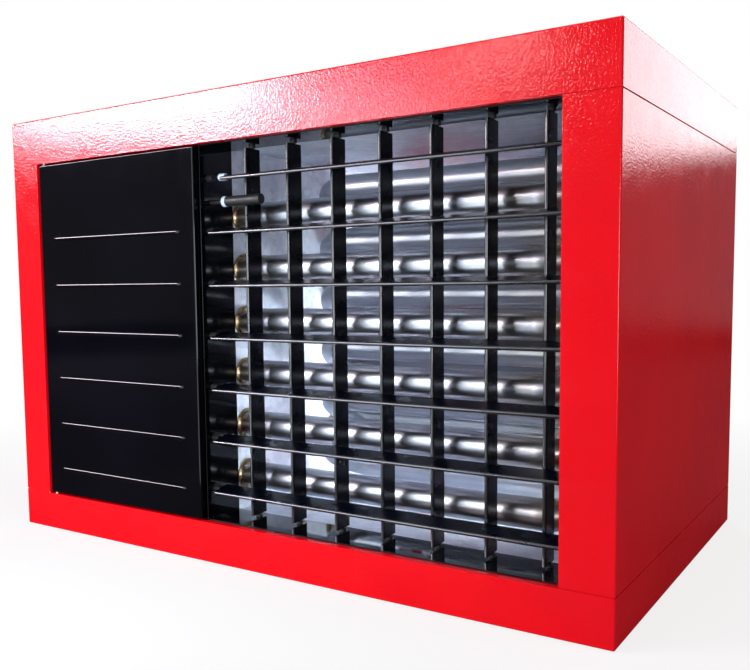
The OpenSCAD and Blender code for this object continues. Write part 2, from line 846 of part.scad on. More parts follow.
// A flat ring of the guard, as wide as its wire.
module guard_ring(r, y) translate([0, 0, y - guard_wire / 2]) difference() {
    cylinder(r = r + guard_wire / 2, h = guard_wire);
    translate([0, 0, -cut]) cylinder(r = r - guard_wire / 2, h = guard_wire + 2 * cut);
}

module fan_guard() color("silver") place() about_fan() {
    for (i = [1:guard_rings])
        guard_ring(guard_plate_r + (guard_flat_r - guard_plate_r) * i / guard_rings, guard_plane);
    guard_ring(guard_r, guard_foot);
    for (i = [0:guard_spokes - 1]) rotate([0, 0, i * 360 / guard_spokes]) guard_spoke();
    difference() {
        translate([0, 0, guard_plane - guard_wire / 2])
            cylinder(r = guard_plate_r + guard_wire / 2, h = guard_wire);
        for (i = [0:3]) rotate([0, 0, 45 + i * 90])
            translate([guard_plate_r * guard_screw_share, 0, guard_plane - guard_wire])
                cylinder(r = screw_d / 2 + run_gap, h = 2 * guard_wire);
    }
}

// A spoke: along the flat of the guard, then slanting down to its outer ring.
module guard_spoke() {
    rotate([90, 0, 0]) translate([0, 0, -guard_wire / 2]) linear_extrude(guard_wire) polygon([
        [guard_plate_r, guard_plane - guard_wire / 2 + guard_lap],
        [guard_flat_r, guard_plane - guard_wire / 2 + guard_lap],
        [guard_r - guard_wire / 2 + guard_lap, guard_foot - guard_lap],
        [guard_r - guard_wire / 2 + guard_lap, guard_foot + guard_lap],
        [guard_flat_r + guard_wire, guard_plane + guard_wire / 2 - guard_lap],
        [guard_plate_r, guard_plane + guard_wire / 2 - guard_lap]
    ]);
}

module fan_motor() color("dimgray") place() about_fan() difference() {
    motor_back = guard_back - guard_wire - seat_gap;
    stator_front = hub_front + hub_wall + stator_gap;
    union() {
        translate([0, 0, motor_back - motor_plate]) cylinder(r = guard_plate_r, h = motor_plate);
        translate([0, 0, stator_front])
            cylinder(r = hub_r - hub_wall - stator_gap, h = motor_back - stator_front);
    }
    translate([0, 0, hub_front])
        cylinder(r = fan_shaft_d / 2 + run_gap, h = hub_back - hub_front);
}

module fan_impeller() color("dimgray") place() about_fan() {
    difference() {
        translate([0, 0, hub_front]) cylinder(r = hub_r, h = fan_depth);
        translate([0, 0, hub_front + hub_wall]) cylinder(r = hub_r - hub_wall, h = fan_depth);
    }
    translate([0, 0, hub_front + hub_wall / 2])
        cylinder(r = fan_shaft_d / 2, h = fan_depth - hub_wall - stator_gap);
    for (i = [0:fan_blades - 1]) rotate([0, 0, i * 360 / fan_blades]) fan_blade();
}

// A blade: a sector of sheet, pitched about its own radial line and trimmed to the tip circle.
module fan_blade() {
    span = 360 / fan_blades * blade_span_share;
    intersection() {
        translate([0, 0, hub_front + fan_depth / 2]) rotate([blade_pitch_angle, 0, 0])
            translate([0, 0, -blade_thick / 2]) linear_extrude(blade_thick) intersection() {
                translate([hub_r * blade_root_share, -fan_d / 4]) square([fan_d / 2, fan_d / 2]);
                polygon([
                    [0, 0],
                    [fan_d * cos(span / 2), -fan_d * sin(span / 2)],
                    [fan_d * cos(span / 2), fan_d * sin(span / 2)]
                ]);
            }
        translate([0, 0, hub_front]) difference() {
            cylinder(r = fan_d / 2, h = fan_depth);
            translate([0, 0, -cut]) cylinder(r = hub_r - hub_wall / 2, h = fan_depth + 2 * cut);
        }
    }
}

// Flue side of the left compartment

module flue_collector() color("gainsboro") place() difference() {
    low = [collector_left, flue_y - collector_depth / 2, collector_low];
    high = [collector_right, flue_y + collector_depth / 2, collector_high];
    wall = collector_sheet * [1, 1, 1];
    block(low, high);
    block(low + wall, high - wall);
    for (z = compartment_z)
        rod_x(
            [collector_right - collector_sheet - cut, flue_y, z + leg_rise],
            collector_sheet + 2 * cut,
            tube_r + seat_gap
        );
    rod_x([collector_left - cut, flue_y, flue_fan_z], collector_sheet + 2 * cut, flue_eye_r);
}

module flue_fan_housing() color("silver") place() difference() {
    duct_low = [flue_fan_x, flue_y, flue_fan_z + flue_fan_r - flue_outlet_h];
    duct_high = [flue_fan_x + flue_fan_w, flue_y + flue_outlet_reach, flue_fan_z + flue_fan_r];
    union() {
        rod_x([flue_fan_x, flue_y, flue_fan_z], flue_fan_w, flue_fan_r);
        block(duct_low, duct_high);
    }
    rod_x(
        [flue_fan_x + collector_sheet, flue_y, flue_fan_z],
        flue_fan_w - 2 * collector_sheet,
        flue_fan_r - collector_sheet
    );
    block(
        duct_low + [collector_sheet, 0, collector_sheet],
        duct_high + [-collector_sheet, cut, -collector_sheet]
    );
    rod_x([flue_fan_x + flue_fan_w / 2, flue_y, flue_fan_z], flue_fan_w, flue_eye_r);
    rod_x([flue_fan_x - cut, flue_y, flue_fan_z], flue_fan_w / 2, flue_shaft_r + flue_shaft_gap);
}

module flue_fan_impeller() color("silver") place() {
    back = flue_fan_x + collector_sheet + flue_wheel_side_gap;
    front = flue_fan_x + flue_fan_w - collector_sheet - flue_wheel_side_gap;
    shaft_end = flue_fan_x - flue_motor_length + flue_shaft_grip;
    translate([0, flue_y, flue_fan_z]) {
        rod_x([back, 0, 0], collector_sheet, flue_wheel_r);
        rod_x([back, 0, 0], (front - back) / 2, flue_shaft_r * flue_hub_share);
        rod_x([shaft_end, 0, 0], back - shaft_end + flue_shaft_grip, flue_shaft_r);
        difference() {
            rod_x([front - collector_sheet, 0, 0], collector_sheet, flue_wheel_r);
            rod_x([front - collector_sheet - cut, 0, 0], collector_sheet + 2 * cut, flue_eye_r);
        }
        for (i = [0:flue_wheel_blades - 1]) rotate([i * 360 / flue_wheel_blades, 0, 0])
            block(
                [back + collector_sheet / 2, flue_eye_r + flue_blade_root_gap, -collector_sheet / 2],
                [front - collector_sheet / 2, flue_wheel_r - flue_blade_tip_gap, collector_sheet / 2]
            );
    }
}

module flue_fan_motor() color("dimgray") place() {
    back = flue_fan_x - seat_gap - flue_motor_length;
    difference() {
        union() {
            rod_x([back, flue_y, flue_fan_z], flue_motor_length * flue_motor_body_share, flue_motor_r);
            rod_x([back, flue_y, flue_fan_z], flue_motor_length, flue_motor_r * flue_motor_nose_share);
            rod_x(
                [flue_fan_x - seat_gap - flue_motor_plate, flue_y, flue_fan_z],
                flue_motor_plate,
                flue_motor_r * flue_motor_plate_share
            );
        }
        rod_x([back + flue_motor_wall, flue_y, flue_fan_z], flue_motor_length, flue_shaft_r + run_gap);
    }
}

// A spigot from its inner end to the back of the heater, with its flange against the rear panel.
module spigot(front) {
    rod_y([0, front, 0], overall_d - front, spigot_d / 2);
    rod_y([0, rear_back + seat_gap, 0], spigot_sheet, spigot_d / 2 + spigot_flange);
}

module flue_spigot() color("gainsboro") place() {
    front = flue_y + flue_outlet_reach + seat_gap;
    plate = spigot_d * spigot_plate_share;
    translate([flue_spigot_x, 0, spigot_z]) difference() {
        union() {
            spigot(front);
            block([-plate, front, -plate], [plate, front + spigot_sheet, plate]);
        }
        rod_y([0, front + spigot_sheet, 0], overall_d, spigot_d / 2 - spigot_sheet);
        block(
            [collector_sheet - flue_fan_w / 2, front - cut, collector_sheet - flue_outlet_h / 2],
            [flue_fan_w / 2 - collector_sheet, front + spigot_sheet + cut, flue_outlet_h / 2 - collector_sheet]
        );
    }
}

module air_inlet_spigot() color("gainsboro") place()
    translate([air_spigot_x, 0, spigot_z]) difference() {
        spigot(rear_front - air_spigot_inside);
        rod_y([0, rear_front - air_spigot_inside - cut, 0], overall_d, spigot_d / 2 - spigot_sheet);
    }

// Burners and gas train

module burner_rack() color("silver") place() difference() {
    union() {
        block(
            [rack_x, burner_y - rack_half, rack_low],
            [rack_x + rack_sheet, burner_y + rack_half, rack_high]
        );
        for (y = [burner_y - rack_half, burner_y + rack_half - rack_sheet])
            block([rack_x, y, rack_low], [airway_left - panel_sheet - seat_gap, y + rack_sheet, rack_high]);
    }
    for (z = compartment_z)
        rod_x([rack_x - cut, burner_y, z], rack_sheet + 2 * cut, burner_throat_r + seat_gap);
    block(
        [airway_left - panel_flange - 2 * seat_gap, 0, 0],
        [airway_left, airway_front + panel_sheet + seat_gap, casing_h]
    );
    for (z = electrode_z)
        rod_x([rack_x - cut, electrode_y, z], rack_sheet + 2 * cut, electrode_d / 2 + seat_gap);
}

// A burner along +X from its bell to its flared mouth.
module burner() rotate([0, 90, 0]) rotate_extrude() {
    points = [
        [burner_throat_r + burner_bell, 0],
        [burner_throat_r, burner_bell_length],
        [burner_throat_r, burner_length * burner_cone_share],
        [burner_head_d * burner_mouth_r_share, burner_length * burner_mouth_share],
        [burner_head_d / 2, burner_length]
    ];
    polygon(concat(points, [for (i = [len(points) - 1:-1:0]) points[i] - [burner_wall, 0]]));
}

module burners() color("silver") place()
    for (z = compartment_z) translate([burner_inlet_x, burner_y, z]) burner();

module gas_manifold() color("goldenrod") place() difference() {
    low = tube_first - manifold_overrun;
    high = tube_first + (tube_count - 1) * tube_pitch + manifold_overrun;
    branch = valve_right + seat_gap;
    union() {
        rod_z([manifold_x, burner_y, low], high - low, manifold_d / 2);
        rod_x([branch, burner_y, valve_z], manifold_x - branch, branch_r);
    }
    rod_z(
        [manifold_x, burner_y, low + manifold_wall],
        high - low - 2 * manifold_wall,
        manifold_d / 2 - manifold_wall
    );
    rod_x([branch - cut, burner_y, valve_z], manifold_x - branch, branch_r - manifold_wall);
    for (z = compartment_z) rod_x([manifold_x, burner_y, z], manifold_d, injector_tip_d / 2 + run_gap);
}

module gas_injectors() color("gold") place() for (z = compartment_z) {
    x = manifold_x + manifold_d / 2 + seat_gap;
    length = injector_stub + injector_hex_length + injector_tip_length;
    translate([0, burner_y, z]) difference() {
        union() {
            rod_x([x - injector_stub, 0, 0], injector_stub, injector_tip_d / 2);
            translate([x, 0, 0]) rotate([0, 90, 0])
                cylinder(d = injector_hex, h = injector_hex_length, $fn = 6);
            rod_x([x + injector_hex_length, 0, 0], injector_tip_length, injector_tip_d / 2);
        }
        rod_x([x - injector_stub - cut, 0, 0], length, injector_tip_d / 4);
    }
}

module gas_valve() color("silver") place() difference() {
    union() {
        block(
            [valve_left, valve_front, valve_z - valve_h / 2],
            [valve_right, valve_front + valve_depth, valve_z + valve_h / 2]
        );
        for (share = valve_cap_shares)
            rod_z(
                [valve_left + valve_w * share, burner_y, valve_z + valve_h / 2],
                valve_h * valve_cap_h_share,
                valve_w * valve_cap_r_share
            );
    }
    rod_x(
        [valve_right - valve_bore_depth, burner_y, valve_z],
        valve_bore_depth + cut,
        branch_r - manifold_wall
    );
    rod_x(
        [valve_left - cut, burner_y, valve_z],
        valve_bore_depth + cut,
        gas_pipe_d / 2 - gas_pipe_wall
    );
    rod_y(
        [valve_left + valve_w / 2, valve_front - cut, valve_z],
        valve_bore_depth + cut,
        knob_spindle_d / 2 + run_gap
    );
}

module gas_valve_knob() color([0.1, 0.1, 0.1]) place()
    translate([valve_left + valve_w / 2, valve_front, valve_z]) {
        difference() {
            rod_y([0, -seat_gap - knob_depth, 0], knob_depth, knob_d / 2);
            for (i = [0:knob_flutes - 1]) rotate([0, i * 360 / knob_flutes, 0])
                rod_y(
                    [knob_d / 2 + knob_flute_proud, -seat_gap - knob_depth - cut, 0],
                    knob_depth * knob_flute_share + cut,
                    knob_flute_r
                );
        }
        rod_y([0, -seat_gap - knob_lap, 0], knob_lap + knob_spindle, knob_spindle_d / 2);
        block(
            [-knob_mark_w / 2, -seat_gap - knob_depth - knob_mark_proud, 0],
            [knob_mark_w / 2, -seat_gap - knob_depth + knob_mark_sunk, knob_d / 2 - knob_flute_r]
        );
    }

// The gas pipe's route from the valve round one bend to a plane behind the heater.
module gas_path(r, overrun, end) {
    bend_x = gas_pipe_x + gas_bend_r;
    bend_y = burner_y + gas_bend_r;
    rod_x([bend_x, burner_y, valve_z], valve_left - seat_gap - bend_x + overrun, r);
    translate([bend_x, bend_y, valve_z])
        rotate([0, 0, 180]) rotate_extrude(angle = 90) translate([gas_bend_r, 0]) circle(r + bend_swell);
    rod_y([gas_pipe_x, bend_y, valve_z], end - bend_y, r);
}

module gas_inlet_pipe() color("goldenrod") place() difference() {
    union() {
        gas_path(gas_pipe_d / 2, 0, gas_end - gas_thread_length);
        rod_y(
            [gas_pipe_x, gas_end - gas_thread_length, valve_z],
            gas_thread_length,
            gas_pipe_d / 2 - gas_thread_depth
        );
    }
    gas_path(gas_pipe_d / 2 - gas_pipe_wall, cut, gas_end + cut);
}

module flame_electrodes() color("white") place() for (z = electrode_z) {
    rod_x(
        [rack_x - electrode_front, electrode_y, z],
        electrode_front + electrode_rear,
        electrode_d / 2
    );
    rod_x([rack_x + electrode_rear, electrode_y, z], electrode_wire, electrode_wire_d / 2);
}

// Controls

module control_box() color("whitesmoke") place() difference() {
    block([wall_x, box_y, box_z], [wall_x + box_depth, box_y + box_l, box_z + box_h]);
    block(
        [wall_x + box_wall, box_y + box_wall, box_z + box_wall],
        [wall_x + box_depth - box_wall, box_y + box_l - box_wall, box_z + box_h - box_wall]
    );
    rod_y([button_x, box_y - cut, button_z], box_wall + 2 * cut, button_d / 2 + seat_gap);
}

module reset_button() color("red") place() {
    rod_y([button_x, box_y - button_travel - button_proud, button_z], button_length, button_d / 2);
    rod_y(
        [button_x, box_y + box_wall + seat_gap, button_z],
        button_collar,
        button_d / 2 + button_collar
    );
}

module pressure_switch() color("gray") place() {
    rod_x([wall_x, switch_y, switch_z], switch_depth * switch_rim_share, switch_d / 2);
    rod_x([wall_x, switch_y, switch_z], switch_depth, switch_d * switch_dome_share);
    for (side = [-1, 1])
        rod_x(
            [
                wall_x + switch_depth * switch_port_start_share,
                switch_y + side * switch_d * switch_port_place_share,
                switch_z
            ],
            switch_depth * switch_port_share,
            switch_port_r
        );
}

module limit_thermostat() color([0.05, 0.05, 0.05]) place() {
    x = louvre_x - seat_gap;
    block(
        [x - stat_body[0], stat_y - stat_body[1] / 2, stat_z - stat_body[2] / 2],
        [x, stat_y + stat_body[1] / 2, stat_z + stat_body[2] / 2]
    );
    nut_end = x + stat_stem + stat_nut_length;
    rod_x([x - stat_lap, stat_y, stat_z], stat_stem + 2 * stat_lap, stat_stem_d / 2);
    rod_x([x + stat_stem, stat_y, stat_z], stat_nut_length, stat_nut_d / 2);
    rod_x([nut_end - stat_lap, stat_y, stat_z], stat_sleeve + stat_lap, stat_sleeve_d / 2);
}

module gland_hex(y, h) translate([0, y, 0]) rotate([-90, 0, 0])
    cylinder(d = gland_d * gland_nut_share, h = h, $fn = 6);

module cable_gland() color([0.1, 0.1, 0.1]) place() translate([gland_x, 0, gland_z]) difference() {
    union() {
        rod_y([0, rear_front - gland_inside, 0], gland_length, gland_d * gland_body_share);
        gland_hex(rear_back + seat_gap, gland_nut);
        gland_hex(rear_front - seat_gap - gland_locknut, gland_locknut);
        rod_y([0, rear_back + seat_gap + gland_nut, 0], gland_cap, gland_d / 2);
    }
    rod_y([0, rear_front - gland_inside - cut, 0], gland_length + 2 * cut, gland_bore_d / 2);
}

top_cover();
bottom_tray();
left_side_panel();
right_side_panel();
rear_panel();
suspension_rails();
casing_screws();
access_door();
door_hinge_pins();
door_catches();
division_panel();
right_heat_shield();
airway_baffles();
louvre_frame();
louvre_bushes();
horizontal_louvre(1);  // horizontal_louvre_1
horizontal_louvre(2);  // horizontal_louvre_2
horizontal_louvre(3);  // horizontal_louvre_3
horizontal_louvre(4);  // horizontal_louvre_4
horizontal_louvre(5);  // horizontal_louvre_5
horizontal_louvre(6);  // horizontal_louvre_6
horizontal_louvre(7);  // horizontal_louvre_7
vertical_louvre(1);  // vertical_louvre_1
vertical_louvre(2);  // vertical_louvre_2
vertical_louvre(3);  // vertical_louvre_3
vertical_louvre(4);  // vertical_louvre_4
vertical_louvre(5);  // vertical_louvre_5
vertical_louvre(6);  // vertical_louvre_6
vertical_louvre(7);  // vertical_louvre_7
heat_tube(1);  // heat_tube_1
heat_tube(2);  // heat_tube_2
heat_tube(3);  // heat_tube_3
heat_tube(4);  // heat_tube_4
heat_tube(5);  // heat_tube_5
heat_tube(6);  // heat_tube_6
tube_collars();
tube_rest_bar();
fan_ring();
fan_guard();
fan_motor();
fan_impeller();
flue_collector();
flue_fan_housing();
flue_fan_impeller();
flue_fan_motor();
flue_spigot();
air_inlet_spigot();
burner_rack();
burners();
gas_manifold();
gas_injectors();
gas_valve();
gas_valve_knob();
gas_inlet_pipe();
flame_electrodes();
control_box();
reset_button();
pressure_switch();
limit_thermostat();
cable_gland();
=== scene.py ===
"""Looks of a gas fired forced air unit heater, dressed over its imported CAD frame.

Positions are worked out in the heater's own millimetres, with X from the casing's left side, Y from its
front and Z from its underside, and are moved into the row frame in metres when a piece is finished.
"""

from __future__ import annotations

import json
import logging
import math
from dataclasses import dataclass, field
from enum import Enum
from typing import Callable, Sequence

import bmesh
import bpy
from mathutils import Matrix, Vector

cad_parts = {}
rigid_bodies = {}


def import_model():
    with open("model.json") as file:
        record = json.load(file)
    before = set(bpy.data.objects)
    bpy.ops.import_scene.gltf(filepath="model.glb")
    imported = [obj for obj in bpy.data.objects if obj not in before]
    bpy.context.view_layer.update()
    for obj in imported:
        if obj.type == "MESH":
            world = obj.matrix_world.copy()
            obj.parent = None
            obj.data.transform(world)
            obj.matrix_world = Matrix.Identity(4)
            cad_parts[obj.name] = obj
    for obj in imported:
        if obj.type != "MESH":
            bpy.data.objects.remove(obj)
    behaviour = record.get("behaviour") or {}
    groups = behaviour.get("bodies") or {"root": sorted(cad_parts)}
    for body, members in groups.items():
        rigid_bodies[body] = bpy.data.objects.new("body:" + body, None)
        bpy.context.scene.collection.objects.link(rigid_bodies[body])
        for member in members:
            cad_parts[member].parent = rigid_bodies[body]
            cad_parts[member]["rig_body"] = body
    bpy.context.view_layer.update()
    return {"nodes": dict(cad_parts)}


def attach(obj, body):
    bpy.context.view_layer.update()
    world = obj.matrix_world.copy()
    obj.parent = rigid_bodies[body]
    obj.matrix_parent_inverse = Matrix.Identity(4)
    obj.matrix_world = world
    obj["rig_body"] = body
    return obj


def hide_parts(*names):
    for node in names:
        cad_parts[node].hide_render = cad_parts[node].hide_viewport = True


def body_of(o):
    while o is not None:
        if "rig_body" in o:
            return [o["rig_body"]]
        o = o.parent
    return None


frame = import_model()

log = logging.getLogger("heater")

Point = tuple[float, float, float]
Colour = tuple[float, float, float]
Ring = list[bmesh.types.BMEdge]
Profile = Sequence[tuple[float, float]]
Socket = bpy.types.NodeSocket

MM = 0.001
CASING_W = 1100.0
CASING_D = 695.0
CASING_H = 740.0
OVERALL_D = 755.0
TOP_BAND = 78.0
BOTTOM_BAND = 65.0
REAR_BACK = 691.7
TO_ROW = Matrix.Diagonal((MM, MM, MM, 1.0)) @ Matrix.Translation((-CASING_W / 2, -OVERALL_D / 2, 0.0))
TO_HEATER = Matrix.Translation((CASING_W / 2, OVERALL_D / 2, 0.0)) @ Matrix.Diagonal((1 / MM,) * 3 + (1.0,))
SNAP = 0.01
WHITE = (1.0, 1.0, 1.0)


class Axis(Enum):
    """A direction of the heater's own frame."""

    X = Vector((1, 0, 0))
    Y = Vector((0, 1, 0))
    Z = Vector((0, 0, 1))


class Body(Enum):
    """The moving bodies that new pieces ride on."""

    CASING = "casing"
    DOOR = "door"
    MAIN_FAN = "main_fan"


def body_of_node(node: str) -> str:
    """The name of the CAD body that a node rides on."""
    owner = body_of(frame["nodes"][node])
    return owner[0] if owner else Body.CASING.value


def in_scene(name: str, data: bpy.types.ID) -> bpy.types.Object:
    """A new object in the scene's own collection."""
    made = bpy.data.objects.new(name, data)
    bpy.context.scene.collection.objects.link(made)
    return made


# Finishes


class Recipe:
    """One procedural material, built socket by socket around a Principled shader."""

    def __init__(self, name: str) -> None:
        """Starts an empty recipe.

        Args:
            name: Name of the material.
        """
        self.material = bpy.data.materials.new(name)
        self.material.use_nodes = True
        self.tree = self.material.node_tree
        self.shader = self.tree.nodes["Principled BSDF"]
        self.coords = self.tree.nodes.new("ShaderNodeTexCoord")

    def put(self, **values: float | Colour) -> None:
        """Sets the shader's own sockets, named with underscores for spaces.

        Args:
            values: A value for each socket.
        """
        for name, value in values.items():
            socket = self.shader.inputs[name.replace("_", " ")]
            socket.default_value = (*value, 1.0) if isinstance(value, tuple) else value

    def node(self, kind: str, **inputs: object) -> bpy.types.Node:
        """Adds a node and fills its inputs with links or values.

        Args:
            kind: Blender's type of node.
            inputs: A socket or a value for each input, named with underscores for spaces.

        Returns:
            The new node.
        """
        made = self.tree.nodes.new(kind)
        for name, value in inputs.items():
            self.feed(made.inputs[name.replace("_", " ")], value)
        return made

    def feed(self, socket: Socket, value: object) -> None:
        """Links a socket to another, or sets its value."""
        if isinstance(value, Socket):
            self.tree.links.new(value, socket)
        elif isinstance(value, tuple) and socket.type == "RGBA":
            socket.default_value = (*value, 1.0)
        else:
            socket.default_value = value

    def stretched(self, scale: Point) -> Socket:
        """Object coordinates, stretched by a scale along each axis."""
        where = self.coords.outputs["Object"]
        return self.node("ShaderNodeMapping", Vector=where, Scale=scale).outputs[0]

    def noise(self, scale: float, detail: float = 2.0, stretch: Point = WHITE) -> Socket:
        """A cloudy pattern.

        Args:
            scale: Features per metre.
            detail: Octaves of finer detail.
            stretch: Scale of the pattern along each axis.

        Returns:
            The socket with a value from 0 to 1.
        """
        where = self.stretched(stretch)
        return self.node("ShaderNodeTexNoise", Vector=where, Scale=scale, Detail=detail).outputs["Fac"]

    def cells(self, scale: float) -> Socket:
        """A pattern of crystals, each with its own value from 0 to 1."""
        made = self.node("ShaderNodeTexVoronoi", Vector=self.coords.outputs["Object"], Scale=scale)
        parts = self.node("ShaderNodeSeparateColor", Color=made.outputs["Color"])
        return parts.outputs[0]

    def along(self, axis: Axis) -> Socket:
        """The place along one axis, in metres."""
        parts = self.node("ShaderNodeSeparateXYZ", Vector=self.coords.outputs["Object"])
        return parts.outputs[axis.name]

    def spread(
        self, value: Socket, start: float, end: float, low: float = 0.0, high: float = 1.0
    ) -> Socket:
        """A value mapped from one range to another and clamped.

        Args:
            value: The socket to map.
            start: Value that gives the low end.
            end: Value that gives the high end.
            low: Low end of the result.
            high: High end of the result.

        Returns:
            The mapped socket.
        """
        made = self.node("ShaderNodeMapRange", Value=value)
        for name, number in zip(("From Min", "From Max", "To Min", "To Max"), (start, end, low, high)):
            made.inputs[name].default_value = number
        return made.outputs[0]

    def cloud(
        self, scale: float, detail: float, start: float, end: float, low: float = 0.0, high: float = 1.0,
        stretch: Point = WHITE,
    ) -> Socket:
        """A cloudy pattern of noise() that spread() has mapped and clamped."""
        return self.spread(self.noise(scale, detail, stretch), start, end, low, high)

    def blend(self, share: Socket, first: object, second: object) -> Socket:
        """Two colours mixed by a share."""
        made = self.tree.nodes.new("ShaderNodeMix")
        made.data_type = "RGBA"
        for slot, value in ((0, share), (6, first), (7, second)):
            self.feed(made.inputs[slot], value)
        return made.outputs[2]

    def times(self, first: Socket, second: object) -> Socket:
        """Two values multiplied."""
        made = self.tree.nodes.new("ShaderNodeMath")
        made.operation = "MULTIPLY"
        self.feed(made.inputs[0], first)
        self.feed(made.inputs[1], second)
        return made.outputs[0]

    def colour(self, value: Socket) -> None:
        """Links the base colour."""
        self.feed(self.shader.inputs["Base Color"], value)

    def roughness(self, value: Socket) -> None:
        """Links the roughness."""
        self.feed(self.shader.inputs["Roughness"], value)

    def relief(self, layers: Sequence[tuple[Socket, float]]) -> None:
        """Stacks height patterns into the shader's normal.

        Args:
            layers: Pairs of a height pattern and its depth in metres.
        """
        below: Socket | None = None
        for height, depth in layers:
            bump = self.node("ShaderNodeBump", Height=height, Distance=depth, Strength=1.0)
            if below:
                self.feed(bump.inputs["Normal"], below)
            below = bump.outputs[0]
        if below:
            self.feed(self.shader.inputs["Normal"], below)


@dataclass(frozen=True)
class PowderCoat:
    """A gloss powder coat with orange peel, a slow drift of shade and a little dust.

    A louvre's coat also has a nose: the place along Y, in metres, in front of which it is glossier.
    """

    name: str
    colour: Colour
    drift: Colour
    gloss: tuple[float, float] = (0.12, 0.2)
    peel_scale: float = 330.0
    peel_depth: float = 0.00003
    specular: float = 0.5
    dust: float = 0.0
    dust_colour: Colour = (0.5, 0.48, 0.55)
    nose: float | None = None
    nose_blur: float = 0.0004

    def make(self) -> bpy.types.Material:
        """Returns the material."""
        recipe = Recipe(self.name)
        recipe.put(Specular_IOR_Level=self.specular, Coat_Roughness=0.06)
        if self.nose is not None:
            behind, ahead = self.nose + self.nose_blur, self.nose - self.nose_blur
            shine = recipe.spread(recipe.along(Axis.Y), behind, ahead)
            level = recipe.spread(shine, 0.0, 1.0, self.specular, 1.0)
            recipe.feed(recipe.shader.inputs["Coat Weight"], shine)
            recipe.feed(recipe.shader.inputs["Specular IOR Level"], level)
        shade = recipe.blend(recipe.cloud(5.0, 3.0, 0.35, 0.65), self.colour, self.drift)
        specks = recipe.cloud(1400.0, 1.0, 0.7, 0.78, 0.0, self.dust)
        patches = recipe.cloud(9.0, 2.0, 0.45, 0.7)
        recipe.colour(recipe.blend(recipe.times(specks, patches), shade, self.dust_colour))
        recipe.roughness(recipe.cloud(24.0, 3.0, 0.3, 0.7, *self.gloss))
        recipe.relief([
            (recipe.noise(self.peel_scale, 1.5), self.peel_depth),
            (recipe.noise(70.0, 1.0), self.peel_depth * 0.5),
        ])
        return recipe.material


@dataclass(frozen=True)
class CoatedSheet:
    """A zinc or aluminium coated sheet with spangle, rolling marks and handling scuffs."""

    name: str
    light: Colour
    dark: Colour
    spangle: float = 85.0
    metallic: float = 0.72
    roughness: tuple[float, float] = (0.24, 0.42)

    def make(self) -> bpy.types.Material:
        """Returns the material."""
        recipe = Recipe(self.name)
        recipe.put(Metallic=self.metallic)
        crystals = recipe.cells(self.spangle)
        fine = recipe.cells(self.spangle * 2.7)
        shade = recipe.blend(crystals, self.dark, self.light)
        stain = recipe.cloud(11.0, 4.0, 0.5, 0.75, 0.0, 0.45)
        recipe.colour(recipe.blend(stain, shade, self.dark))
        recipe.roughness(recipe.spread(fine, 0.0, 1.0, *self.roughness))
        recipe.relief([
            (recipe.noise(6.0, 2.0), 0.0008),
            (recipe.noise(900.0, 2.0, (0.06, 1.0, 1.0)), 0.000015),
            (crystals, 0.00002),
        ])
        return recipe.material


@dataclass(frozen=True)
class DrawnTube:
    """Satin drawn exchanger tube with heat tints towards its ends, long scratches and handling marks."""

    name: str = "drawn tube steel"
    cool: Colour = (0.60, 0.62, 0.70)
    pale: Colour = (0.74, 0.75, 0.79)
    scratch: Colour = (0.36, 0.38, 0.44)
    warm: Colour = (0.66, 0.56, 0.42)
    brown: Colour = (0.30, 0.20, 0.12)
    right_tint: tuple[float, float] = (0.30, 0.47)
    left_tint: tuple[float, float] = (-0.055, -0.105)

    def make(self) -> bpy.types.Material:
        """Returns the material."""
        recipe = Recipe(self.name)
        recipe.put(Metallic=1.0)
        place = recipe.along(Axis.X)
        patches = recipe.cloud(14.0, 3.0, 0.35, 0.7, stretch=(0.4, 1.0, 1.0))
        body = recipe.blend(patches, self.cool, self.pale)
        streaks = recipe.cloud(260.0, 2.0, 0.4, 0.7, 0.0, 0.3, (0.02, 1.0, 1.0))
        body = recipe.blend(streaks, body, self.scratch)
        straw = recipe.times(recipe.spread(place, *self.right_tint), recipe.cloud(22.0, 2.0, 0.3, 0.6))
        body = recipe.blend(straw, body, self.warm)
        burnt = recipe.times(recipe.spread(place, *self.left_tint), recipe.cloud(40.0, 2.0, 0.2, 0.5))
        recipe.colour(recipe.blend(burnt, body, self.brown))
        recipe.roughness(recipe.cloud(60.0, 4.0, 0.3, 0.75, 0.28, 0.4, (0.25, 1.0, 1.0)))
        recipe.relief([
            (recipe.noise(700.0, 2.0, (0.015, 1.0, 1.0)), 0.00002),
            (recipe.noise(45.0, 2.0), 0.00012),
        ])
        return recipe.material


@dataclass(frozen=True)
class PlainMetal:
    """A small metal part: machined, cast, plated or painted, with grain and tarnish."""

    name: str
    colour: Colour
    tarnish: Colour
    roughness: tuple[float, float] = (0.25, 0.45)
    metallic: float = 1.0
    grain_scale: float = 900.0
    grain_depth: float = 0.00003
    tarnish_scale: float = 30.0

    def make(self) -> bpy.types.Material:
        """Returns the material."""
        recipe = Recipe(self.name)
        recipe.put(Metallic=self.metallic)
        spots = recipe.cloud(self.tarnish_scale, 4.0, 0.4, 0.72)
        recipe.colour(recipe.blend(spots, self.colour, self.tarnish))
        recipe.roughness(recipe.cloud(self.tarnish_scale * 2, 3.0, 0.3, 0.7, *self.roughness))
        recipe.relief([(recipe.noise(self.grain_scale, 2.0), self.grain_depth)])
        return recipe.material


